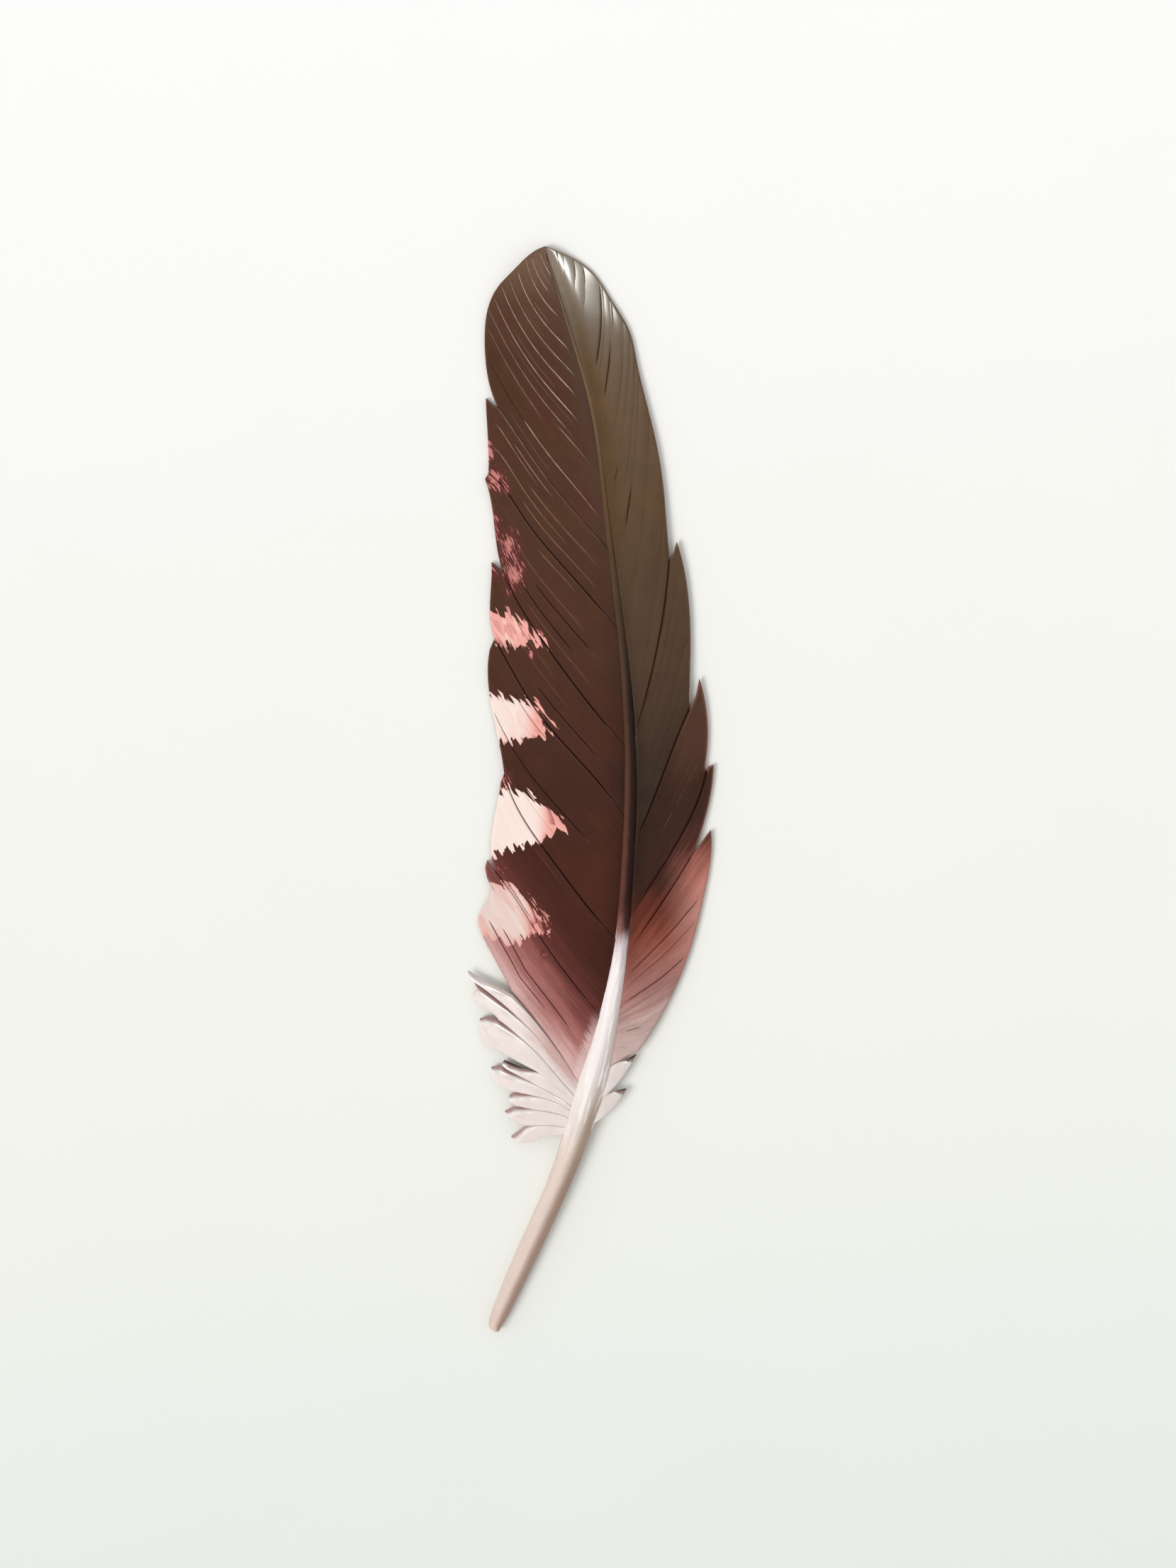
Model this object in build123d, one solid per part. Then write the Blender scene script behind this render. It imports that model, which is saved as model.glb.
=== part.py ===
from build123d import *
import math
import os

import numpy as np

# Carved wooden feather quill, lying flat with its hollow side down.  Millimetres.
# +Y runs along the quill towards the vane's tip, +X to the right seen from above, +Z up.
# The origin is under the middle of the quill, on the plane that it rests on.
# The quill is a tapered shaft with barb leaves let in along both sides: broad vane leaves
# from the tip down, then short shingled down tufts above the bare calamus.

# ---------------------------------------------------------------- driving dimensions
TIP_Y = 125.0            # the vane's tip; the calamus ends as far below the origin
RIDGE_HEIGHT = 5.0       # top of the vane beside the shaft, at its highest
RIDGE_DROP = 2.2         # how much lower the vane is at the tip
RIDGE_PEAK_Y = -5.0      # where along the quill the vane is highest
EDGE_HEIGHT = 1.15       # top of the vane at its outer edge
EDGE_THICKNESS = 0.8     # thickness of the vane at its outer edge
ROOT_THICKNESS = 2.3     # thickness of the vane beside the shaft
LEFT_REACH = 34.0        # widest distance from the shaft to the left edge
RIGHT_REACH = 20.5       # widest distance from the shaft to the right edge
TUFT_THICKNESS = 1.3     # thickness of a down tuft
TUFT_ROOT_HEIGHT = 5.0   # top of a down tuft where it leaves the shaft
TUFT_ROLL = 9.0          # degrees that a tuft is rolled, so that its upper edge stands proud
LEFT_WIDEST_Y = -20.0    # where along the quill the left vane reaches farthest
LEFT_TAPER = 20.0        # how much less the left vane reaches at the tip
RIGHT_TAPER = 8.0        # how much less the right vane reaches at the tip
CAMBER_FULLNESS = 1.2    # how soon the camber falls away: higher is a rounder shoulder
SPINE_MARGIN = 4.0       # the hidden edge of a leaf follows the shaft to this far from its ends

# Sizes of the blocks that the shapes are cut from; all of them reach past the quill.
SKIN_X = 42.0
SKIN_Y = (-92.0, 134.0)
SKIN_ROWS, SKIN_COLUMNS = 24, 17
SKIN_TOLERANCE = 0.02
BLOCK_HEIGHT = 10.0
BELOW_DEPTH = 20.0
GROUND_BLOCK = (200.0, 400.0, 20.0)
TUFT_BLOCK = (100.0, 60.0)
OVAL_POINTS = 12

# Stations down the shaft: x, y, width across, depth, height of its top.  Below y = -30 the
# depth is a little more than the height, and the flat that the quill rests on is planed there.
SHAFT = [
    (-10.2, 121.8, 0.7, 1.5, 3.0),
    (-7.9, 115.0, 0.9, 1.7, 3.25),
    (-4.5, 104.0, 1.1, 2.0, 3.6),
    (0.6, 86.0, 1.3, 2.4, 4.1),
    (3.1, 68.0, 1.6, 2.8, 4.5),
    (5.2, 50.0, 2.1, 3.2, 4.85),
    (7.6, 30.0, 2.8, 3.8, 5.2),
    (9.0, 10.0, 3.4, 4.5, 5.6),
    (8.9, -8.0, 3.7, 5.0, 5.7),
    (8.1, -22.0, 3.7, 5.6, 5.7),
    (6.8, -37.0, 4.1, 6.1, 5.8),
    (4.8, -49.0, 5.0, 6.3, 5.9),
    (2.4, -60.0, 6.0, 6.5, 6.1),
    (-0.5, -70.0, 7.0, 6.6, 6.2),
    (-3.5, -80.0, 6.3, 6.3, 5.9),
    (-7.3, -90.4, 5.4, 5.8, 5.4),
    (-12.9, -103.0, 5.2, 5.1, 4.8),
    (-18.4, -115.0, 4.6, 4.4, 4.2),
]
# The calamus is cut square there, then its rim is rounded over.
CALAMUS_END = (-22.62, -124.76, 3.5, 3.5, 3.65)
CALAMUS_END_ROUND = 1.5

# The leaves on each side, from the tip down.  Seen from above, a leaf climbs from the notch
# above it to its own point in straight flanks, follows its curved free edge down, may turn
# in along a straight hem, and then shares a curved parting line with the next leaf, from
# the notch between them to the shaft.
VANE_TOP = (-10.3, TIP_Y)
LEFT_VANE = [
    {"edge": [VANE_TOP, (-13.2, 123.7), (-17.8, 119.5), (-21.2, 116.0), (-23.6, 111.2),
              (-24.45, 105.5), (-24.2, 98.0), (-23.2, 92.5), (-21.5, 88.1)],
     "parting": [(-16.0, 80.0), (-9.0, 70.0), (-1.0, 60.6), (5.0, 53.5)]},
    {"flank": [(-22.0, 88.0), (-24.2, 90.2)],
     "edge": [(-24.2, 90.2), (-23.9, 83.6), (-23.6, 78.0), (-23.6, 72.8)],
     "parting": [(-21.0, 70.4), (-15.0, 61.8), (-5.0, 49.6), (7.0, 35.5)]},
    {"flank": [(-24.4, 71.4)],
     "edge": [(-24.4, 71.4), (-22.7, 64.5), (-21.9, 57.5), (-20.3, 50.2)],
     "parting": [(-15.7, 41.0), (-9.0, 31.0), (-1.0, 20.2), (8.9, 8.5)]},
    {"flank": [(-22.9, 52.4)],
     "edge": [(-22.9, 52.4), (-23.1, 45.5), (-23.2, 39.5), (-22.2, 34.6)],
     "parting": [(-18.0, 27.0), (-12.5, 18.0), (-5.0, 9.0), (3.0, 0.0), (9.0, -9.0)]},
    {"flank": [(-23.3, 32.2)],
     "edge": [(-23.3, 32.2), (-23.7, 25.0), (-22.3, 16.0), (-20.0, 3.5)],
     "parting": [(-16.3, -5.5), (-9.0, -16.2), (0.0, -28.0), (7.5, -36.5)]},
    {"flank": [(-20.7, 1.9)],
     "edge": [(-20.7, 1.9), (-22.2, -6.5), (-23.0, -13.0), (-22.1, -19.0)],
     "parting": [(-17.5, -25.0), (-12.0, -33.6), (-4.0, -44.6), (4.0, -54.5)]},
    {"flank": [(-23.9, -16.3), (-24.4, -18.2), (-23.9, -20.7), (-22.9, -22.0)],
     "edge": [(-22.9, -22.0), (-24.0, -25.8), (-26.0, -30.0), (-24.6, -34.6),
              (-20.3, -42.6), (-17.9, -47.4)],
     "parting": [(-12.0, -54.3), (-5.5, -63.0), (-1.0, -70.5)]},
]
RIGHT_VANE = [
    {"edge": [VANE_TOP, (-5.8, 123.2), (0.1, 119.5), (5.0, 112.4), (9.0, 105.4),
              (10.6, 98.5), (13.3, 87.3), (16.2, 73.8), (17.5, 60.8), (18.1, 53.3)],
     "parting": [(16.7, 40.0), (14.0, 26.5), (9.1, 9.0)]},
    {"flank": [(18.9, 53.8), (19.8, 57.1)],
     "edge": [(19.8, 57.1), (22.0, 48.0), (23.0, 34.7), (22.6, 20.3)],
     "hem": [(23.0, 18.9)],
     "parting": [(18.4, 8.0), (12.8, -6.3), (8.6, -15.0)]},
    {"flank": [(24.2, 21.5), (25.0, 25.6)],
     "edge": [(25.0, 25.6), (26.9, 16.0), (26.2, 4.8)],
     "hem": [(26.8, 4.6)],
     "parting": [(24.8, -2.5), (19.5, -13.0), (13.0, -23.3), (7.7, -32.0)]},
    {"flank": [(27.2, 5.3), (28.35, 5.6)],
     "edge": [(28.35, 5.6), (27.6, -1.5), (26.0, -8.0), (23.3, -15.3)],
     "parting": [(18.5, -23.0), (12.5, -31.8), (6.4, -40.0)]},
    {"flank": [(26.6, -10.7), (27.7, -9.3)],
     "edge": [(27.7, -9.3), (27.8, -14.2), (26.2, -24.0), (22.9, -37.0), (17.4, -50.0),
              (10.6, -60.8)],
     "hem": [(8.8, -61.2), (6.6, -62.6)],
     "parting": [(4.6, -63.7), (1.5, -65.5)]},
]

# The down tufts carry on from the vane leaves; each also has the height of its point.
LEFT_DOWN = [
    {"flank": [(-23.5, -44.3), (-28.35, -41.7)],
     "edge": [(-28.35, -41.7), (-28.1, -42.9), (-26.9, -44.4)],
     "parting": [(-22.0, -48.0), (-16.0, -53.3), (-6.5, -64.0), (-1.4, -71.2)],
     "tip_height": 2.8},
    {"flank": [(-26.0, -46.2), (-27.3, -47.0)],
     "edge": [(-27.3, -47.0), (-26.9, -48.5), (-25.0, -50.2), (-21.4, -53.0)],
     "parting": [(-17.5, -56.0), (-13.0, -60.0), (-6.0, -67.8), (-2.0, -72.0)],
     "tip_height": 2.3},
    {"flank": [(-24.1, -52.3), (-25.6, -52.9)],
     "edge": [(-25.6, -52.9), (-25.7, -55.7), (-24.6, -58.7), (-21.3, -60.2)],
     "hem": [(-16.0, -63.2), (-12.0, -65.2)],
     "parting": [(-7.0, -69.2), (-2.4, -73.0)],
     "tip_height": 2.3},
    {"flank": [(-16.0, -64.1), (-19.9, -62.4)],
     "edge": [(-19.9, -62.4), (-20.4, -63.2), (-20.0, -64.2)],
     "parting": [(-14.0, -67.4), (-9.0, -69.9), (-2.8, -74.0)],
     "tip_height": 2.6},
    {"flank": [(-20.3, -63.6), (-22.9, -63.9)],
     "edge": [(-22.9, -63.9), (-22.6, -66.6), (-20.2, -68.8), (-17.8, -69.7)],
     "parting": [(-13.5, -70.4), (-9.3, -71.5), (-3.0, -75.2)],
     "tip_height": 2.6},
    {"flank": [(-18.8, -70.5)],
     "edge": [(-18.8, -70.5), (-18.7, -71.6), (-17.5, -72.9)],
     "parting": [(-14.0, -73.6), (-9.8, -74.1), (-3.5, -76.6)],
     "tip_height": 3.0},
    {"flank": [(-19.9, -74.1)],
     "edge": [(-19.9, -74.1), (-18.6, -75.6), (-15.2, -77.6)],
     "parting": [(-12.0, -77.2), (-8.2, -77.3), (-4.2, -78.2)],
     "tip_height": 3.0},
    {"flank": [(-18.4, -79.9)],
     "edge": [(-18.4, -79.9), (-16.8, -81.3), (-11.6, -80.3), (-8.0, -79.6)],
     "parting": [(-5.0, -79.2)],
     "tip_height": 3.0},
]
RIGHT_DOWN = [
    {"flank": [(8.4, -62.1), (10.6, -60.95)],
     "edge": [(10.6, -60.95), (9.2, -63.3), (7.5, -66.0), (3.7, -70.2)],
     "parting": [(-0.4, -73.2)],
     "tip_height": 3.1},
    {"flank": [(5.4, -69.4), (8.3, -68.9)],
     "edge": [(8.3, -68.9), (5.8, -72.6), (1.4, -76.4)],
     "parting": [(-2.6, -78.6)],
     "tip_height": 3.2},
]


# ---------------------------------------------------------------- the vane's surfaces
SHAFT_CURVE = np.polynomial.Polynomial.fit([y for _, y, *_ in SHAFT], [x for x, *_ in SHAFT], 7)


def edge_ratio(x, y):
    """0 at the shaft, 1 where the vane's camber comes down to its edge height."""
    away = x - SHAFT_CURVE(y)
    if away < 0:
        reach = LEFT_REACH - LEFT_TAPER * ((y - LEFT_WIDEST_Y) / (TIP_Y - LEFT_WIDEST_Y)) ** 2
    else:
        reach = RIGHT_REACH - RIGHT_TAPER * (y / TIP_Y) ** 2
    return abs(away) / reach


def vane_top(x, y):
    """Height of the vane's cambered upper face."""
    ridge = RIDGE_HEIGHT - RIDGE_DROP * ((y - RIDGE_PEAK_Y) / (TIP_Y - RIDGE_PEAK_Y)) ** 2
    fall = math.tanh(CAMBER_FULLNESS * edge_ratio(x, y) ** 2) / math.tanh(CAMBER_FULLNESS)
    return ridge - (ridge - EDGE_HEIGHT) * fall


def vane_bottom(x, y):
    """Height of the vane's hollow underside; the vane thins towards its edge."""
    inner = max(0.0, 1.0 - edge_ratio(x, y) ** 2)
    return vane_top(x, y) - EDGE_THICKNESS - (ROOT_THICKNESS - EDGE_THICKNESS) * inner


def below(height):
    """Everything under the surface whose height is this function of x and y."""
    rows = []
    for y in np.linspace(*SKIN_Y, SKIN_ROWS):
        rows.append([Vector(x, y, height(x, y)) for x in np.linspace(-SKIN_X, SKIN_X, SKIN_COLUMNS)])
    skin = Face.make_surface_from_array_of_points(rows, tol=SKIN_TOLERANCE)
    return Solid.extrude(skin, Vector(0, 0, -BELOW_DEPTH))


# ---------------------------------------------------------------- the shaft
def oval(width, depth):
    """An oval face, always drawn from the same side, so that a loft doesn't twist."""
    points = []
    for turn in range(OVAL_POINTS):
        angle = 2 * math.pi * turn / OVAL_POINTS
        points.append((width / 2 * math.cos(angle), depth / 2 * math.sin(angle)))
    return make_face(Spline(*points, periodic=True))


def make_shaft():
    """Ovals across the centreline, lofted, rounded at the calamus end, planed flat underneath."""
    stations = SHAFT + [CALAMUS_END]
    faces = []
    for index, (x, y, width, depth, top) in enumerate(stations):
        before = stations[max(index - 1, 0)]
        after = stations[min(index + 1, len(stations) - 1)]
        along = Vector(after[0] - before[0], after[1] - before[1]).normalized()
        across = Vector(-along.Y, along.X)
        plane = Plane(origin=(x, y, top - depth / 2), x_dir=across, z_dir=along)
        faces.append((plane * oval(width, depth)).face())
    body = loft(faces)
    end_rim = body.faces().sort_by(Axis.Y)[0].edges()
    body = fillet(end_rim, CALAMUS_END_ROUND)
    return body - Pos(0, 0, -GROUND_BLOCK[2] / 2) * Box(*GROUND_BLOCK)


# ---------------------------------------------------------------- leaves and tufts
def straight(points):
    """Straight stretches from each point to the next."""
    return [[start, end] for start, end in zip(points, points[1:])]


def leaf_outline(leaf, upper):
    """The flat outline of a leaf whose upper parting line, notch first, is given."""
    flank = straight([upper[0]] + leaf.get("flank", []))
    hem = straight([leaf["edge"][-1]] + leaf.get("hem", []))
    notch = leaf.get("hem", leaf["edge"])[-1]
    parting = [notch] + leaf["parting"]
    lowest, highest = parting[-1][1] + SPINE_MARGIN, upper[-1][1] - SPINE_MARGIN
    spine = [(x, y) for x, y, *_ in SHAFT[::-1] if lowest < y < highest]
    spine = [parting[-1]] + spine + [upper[-1]]
    edges = []
    for points in flank + [leaf["edge"]] + hem + [parting, spine, upper[::-1]]:
        edges.append(Line(*points) if len(points) == 2 else Spline(*points))
    return make_face(edges), parting


def tuft_plate(root, tip):
    """A plate that falls from root to tip, rolled so that its +Y side stands high."""
    axis = tip - root
    side = Vector(0, 0, 1).cross(axis).normalized()
    level = axis.cross(side).normalized()
    downhill = side if side.Y < 0 else side * -1
    roll = math.radians(TUFT_ROLL)
    normal = level * math.cos(roll) + downhill * math.sin(roll)
    plane = Plane(origin=root, x_dir=axis, z_dir=normal)
    return plane * Pos(0, 0, -TUFT_THICKNESS / 2) * Box(*TUFT_BLOCK, TUFT_THICKNESS)


def make_side(side, vane, down, upper):
    """Every leaf and tuft on one side of the shaft, tip first, before the shaft is cut out."""
    camber_top = below(vane_top)
    camber_bottom = below(vane_bottom)
    parts = {}
    for number, leaf in enumerate(vane, start=1):
        outline, upper = leaf_outline(leaf, upper)
        block = extrude(outline, amount=BLOCK_HEIGHT, dir=(0, 0, 1))
        parts[f"{side}_vane_{number}"] = (block & camber_top) - camber_bottom
    for number, tuft in enumerate(down, start=1):
        roots = (Vector(*upper[-1]) + Vector(*tuft["parting"][-1])) / 2
        outline, upper = leaf_outline(tuft, upper)
        root = Vector(roots.X, roots.Y, TUFT_ROOT_HEIGHT)
        tip = Vector(*tuft["edge"][0], tuft["tip_height"])
        block = extrude(outline, amount=BLOCK_HEIGHT, dir=(0, 0, 1))
        parts[f"{side}_down_{number}"] = block & tuft_plate(root, tip)
    return parts


# ---------------------------------------------------------------- the whole quill
def make_quill():
    shaft = make_shaft()
    top_parting = [VANE_TOP, SHAFT[0][:2]]
    leaves = make_side("left", LEFT_VANE, LEFT_DOWN, top_parting)
    leaves.update(make_side("right", RIGHT_VANE, RIGHT_DOWN, top_parting))
    parts = {"shaft": shaft}
    for name, leaf in leaves.items():
        parts[name] = leaf - shaft
    return parts


os.makedirs("parts", exist_ok=True)
for name, part in make_quill().items():
    export_step(part, f"parts/{name}.step")
    box = part.bounding_box()
    print(name, len(part.solids()), round(part.volume, 1), box.min, box.max)
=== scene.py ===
import math

import bmesh
import bpy
import numpy as np
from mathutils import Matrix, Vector, kdtree
from mathutils.bvhtree import BVHTree


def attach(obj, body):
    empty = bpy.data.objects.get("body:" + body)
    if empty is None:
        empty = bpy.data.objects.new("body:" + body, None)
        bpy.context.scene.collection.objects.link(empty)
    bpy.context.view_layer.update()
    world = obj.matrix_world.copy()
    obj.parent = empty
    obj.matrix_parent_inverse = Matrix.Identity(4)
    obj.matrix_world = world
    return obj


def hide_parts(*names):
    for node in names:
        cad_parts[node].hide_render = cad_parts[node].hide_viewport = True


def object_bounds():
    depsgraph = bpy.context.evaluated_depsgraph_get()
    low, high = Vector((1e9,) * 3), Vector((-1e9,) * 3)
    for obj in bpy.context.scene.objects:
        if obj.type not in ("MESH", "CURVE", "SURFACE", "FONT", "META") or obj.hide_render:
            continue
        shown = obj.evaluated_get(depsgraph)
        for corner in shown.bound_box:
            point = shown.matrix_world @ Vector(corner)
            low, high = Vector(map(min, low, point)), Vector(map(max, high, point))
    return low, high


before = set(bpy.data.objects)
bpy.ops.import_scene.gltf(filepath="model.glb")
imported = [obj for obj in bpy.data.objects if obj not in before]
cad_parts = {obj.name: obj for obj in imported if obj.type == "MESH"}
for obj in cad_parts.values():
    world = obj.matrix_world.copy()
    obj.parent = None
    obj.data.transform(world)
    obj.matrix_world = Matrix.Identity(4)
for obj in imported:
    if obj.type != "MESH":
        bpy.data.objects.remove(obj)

# Carved and painted feather quill.  Lengths here are millimetres in the row frame, and MM
# turns them into metres when a mesh is made.  Every leaf is rebuilt as a fine mesh whose rows
# run along its barbs; its outline and heights are read from the CAD leaf that it replaces.
MM = 0.001
CAD_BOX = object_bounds()
CALAMUS_Y = CAD_BOX[0][1] / MM
SEED = 7

LEFT = [f"left_vane_{n}" for n in range(1, 8)] + [f"left_down_{n}" for n in range(1, 9)]
RIGHT = [f"right_vane_{n}" for n in range(1, 6)] + [f"right_down_{n}" for n in range(1, 3)]

WELD = 1e-7  # CAD vertices closer than this, in metres, are one
UPWARD = 0.8  # least rise of the normal of a CAD leaf's upper faces
ABOVE = 50  # a height above, or a depth below, the whole feather
BESIDE = 60  # a distance to the side of the whole feather
TOUCH = 0.06  # two CAD pieces closer than this share a parting line
OUTLINE_STEP = 0.15  # spacing of the points that an outline is read at
CORNER_SPAN = 5  # how many of those points give an edge's direction
UPPER_LINE = 0.6  # least cosine between the edge and the barbs for an upper corner to move
LOWER_LINE = 0.84  # and for a lower one
TIP_SPAN = 3  # points of outline on either side of a tuft's tip
VANE_RAYS = 1.7  # spacing of the rays that read the height of a vane
TUFT_RAYS = 0.7  # and of a tuft
RAY_INSET = 0.3  # how far inside a piece's box the first ray is
HALF_WIDTH = 30  # half the vane's width, as a scale for x
HALF_LENGTH = 125  # half the feather's length, as a scale for y
VANE_DEGREE = 5  # degree in x and in y of the height over all vanes of a side
TUFT_DEGREE = 1  # a tuft's height is a plane

ROW_STEP = 0.42  # spacing of mesh rows across the barbs
COLUMN_STEP = 0.8  # spacing of mesh columns along the barbs
ROW_GAP = 0.025  # least spacing of rows
COLUMN_GAP = 0.04  # least spacing of columns
EDGE_ROWS = (0, 0.07, 0.16, 0.3, 0.5)  # rows beside a leaf's cuts
EDGE_COLUMNS = (0, 0.06, 0.14, 0.26, 0.45, 0.75)  # columns beside its ends
SCORE_ROWS = (-1.5, -1, -0.6, -0.25, 0, 0.25, 0.6, 1, 1.5)  # rows across a scored line, in half widths
SHORTEST = 4.0  # least barb length that columns are laid out for
CURVE_POINTS = 400  # points that a side of a leaf is looked up in
V_SAMPLES = 81  # samples across a leaf when it is measured
T_SAMPLES = 61  # and along it, for finding where a scored line is
RUN_SAMPLES = np.linspace(0.1, 0.95, 24)  # and clear of its ends, for its width

SHARP_ANGLE = 60  # degrees between faces from which a leaf's edge is shaded sharp
EDGE_ROUND = 0.45  # radius of a leaf's worn free edge
EDGE_CLOSING = 0.88  # how nearly top and underside meet there
TOP_SHARE = 0.5  # how much of the thickness the round takes from the top
UNDER_SHARE = 0.4  # and from the underside
LEAST_SHELL = 0.5  # least thickness of the fitted shell
LEAST_LEAF = 0.35  # least thickness of a leaf under its relief
LEAST_EDGE = 0.05  # least thickness at a worn edge
LEAST_TOP = 0.06  # no upper surface is lower than this
SHINGLE_RISE = 0.2  # how far the upper side of a leaf stands up
SHINGLE_DROP = 0.1  # and its lower side lies down
SHINGLE_REACH = 2.5  # and how far in from the cut that reaches
ROOT_DEPTH = 0.25  # depth of the groove beside the shaft
ROOT_REACH = 0.9  # and how far out it reaches
CROWN_HEIGHT = 0.05  # height of the round of a band of barbs
CROWN_WIDTH = 3.0  # bands narrower than this are less round
PARTING_DEPTH = 0.34  # how deep the cut between two leaves is
PARTING_WIDTH = 0.28  # how far the cut reaches into each leaf
SCORE_WIDTH = 0.17  # half the width of the strongest scored barb line
SCORE_DEPTH = 0.30  # depth of the strongest scored barb line at its middle
STEEP_SIDE = 1.35  # how much steeper a scored line's lower side is than even
SHALLOW_SIDE = 0.85  # and its upper side
FINE_MARGIN = 0.8  # no faint line is nearer than this to the leaf's lower side
FINE_CLEAR = 0.9  # nor than this to a main line
SHOULDER_WIDTH = 8.0  # how far in from the edge the tip's shoulder is rubbed down
SHOULDER_DROP = 0.75  # and by how much at the edge
WALL_WIDTH = 0.2  # width of the steep flank of a tuft at its root
WALL_SPREAD = 1.2  # how much wider the flank is towards its tip
WALL_DROP = 1.2  # how far it drops
WALL_START = 0.48  # where along the tuft it starts
CREST_HALF = 0.3  # half the width of the painted highlight along the crest above the flank
CREST_RISE = 0.35  # how far the crest stands up
CREST_REACH = 1.2  # and how far that reaches
ROOT_SINK = 0.28  # how far a tuft's root is sunk under the one above

SHAFT_TIP_Y = 121.8  # where the shaft runs out
SHAFT_SINK = 0.4  # how much lower its carved crest is towards the tip
RING_POINTS = 56  # points round the shaft
RING_COUNT = 380  # rings along it past the calamus end
END_RINGS = (0.03, 0.1, 0.22, 0.4, 0.65, 1.0, 1.4, 1.9)  # rings at the calamus end
END_SPAN = 2.6  # where the even rings start
NARROWEST = 0.02  # a section narrower than this is past the shaft's end
FACET_DEPTH = 0.05  # depth of the knife facets along the shaft
RIPPLE_DEPTH = 0.010  # depth of the ripples in them
FACET_LIMIT = 0.05  # greatest share of the radius that they take
PLAIN_END = 3  # there are none this near the calamus end
END_WEAR = 0.24  # how much of its thickness is worn off at the calamus end
END_REACH = 4.5  # and how far up that wear reaches


# ---------------------------------------------------------------- reading the CAD pieces
def length_of(points):
    return np.linalg.norm(np.diff(points, axis=0), axis=1).sum()


class CadPiece:
    """A CAD node's mesh in millimetres, welded, with a tree for nearest points and rays."""

    def __init__(self, name):
        mesh = bmesh.new()
        mesh.from_mesh(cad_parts[name].data)
        bmesh.ops.remove_doubles(mesh, verts=mesh.verts, dist=WELD)
        bmesh.ops.scale(mesh, vec=(1 / MM,) * 3, verts=mesh.verts)
        mesh.normal_update()
        self.tree = BVHTree.FromBMesh(mesh)
        self.rim = self.read_rim(mesh)
        mesh.free()

    @staticmethod
    def read_rim(mesh):
        """The outline of the upward faces, as points in order, counter-clockwise."""
        after = {}
        for face in mesh.faces:
            if face.normal.z < UPWARD:
                continue
            for loop in face.loops:
                partner = loop.link_loop_radial_next
                if partner is loop or partner.face.normal.z < UPWARD:
                    after[loop.vert.index] = loop.link_loop_next.vert
        chains = []
        while after:
            vert = after.popitem()[1]
            chain = [tuple(vert.co)]
            while vert.index in after:
                vert = after.pop(vert.index)
                chain.append(tuple(vert.co))
            chains.append(np.array(chain))
        return max(chains, key=length_of)

    def near(self, x, y, z):
        """Distance from a point to this piece."""
        return self.tree.find_nearest(Vector((x, y, z)))[3]

    def hit(self, start, direction):
        """Where a ray first meets this piece, or None."""
        return self.tree.ray_cast(Vector(start), Vector(direction))[0]

    def top(self, x, y):
        """The piece's highest point at a place, or None beside it."""
        return self.hit((x, y, ABOVE), (0, 0, -1))

    def bottom(self, x, y):
        """The piece's lowest point at a place, or None beside it."""
        return self.hit((x, y, -ABOVE), (0, 0, 1))


def resample(points, count=None, step=None):
    """The same polyline with evenly spaced points."""
    points = np.asarray(points, float)
    lengths = np.linalg.norm(np.diff(points, axis=0), axis=1)
    reach = np.concatenate([[0], np.cumsum(lengths)])
    if count is None:
        count = max(2, int(reach[-1] / step) + 1)
    places = np.linspace(0, reach[-1], count)
    return np.stack([np.interp(places, reach, points[:, k]) for k in range(points.shape[1])], 1)


def smooth(points, rounds):
    """Evens out the facets of an outline, keeping its ends."""
    points = points.copy()
    for _ in range(rounds):
        points[1:-1] = (points[:-2] + 2 * points[1:-1] + points[2:]) / 4
    return points


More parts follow.
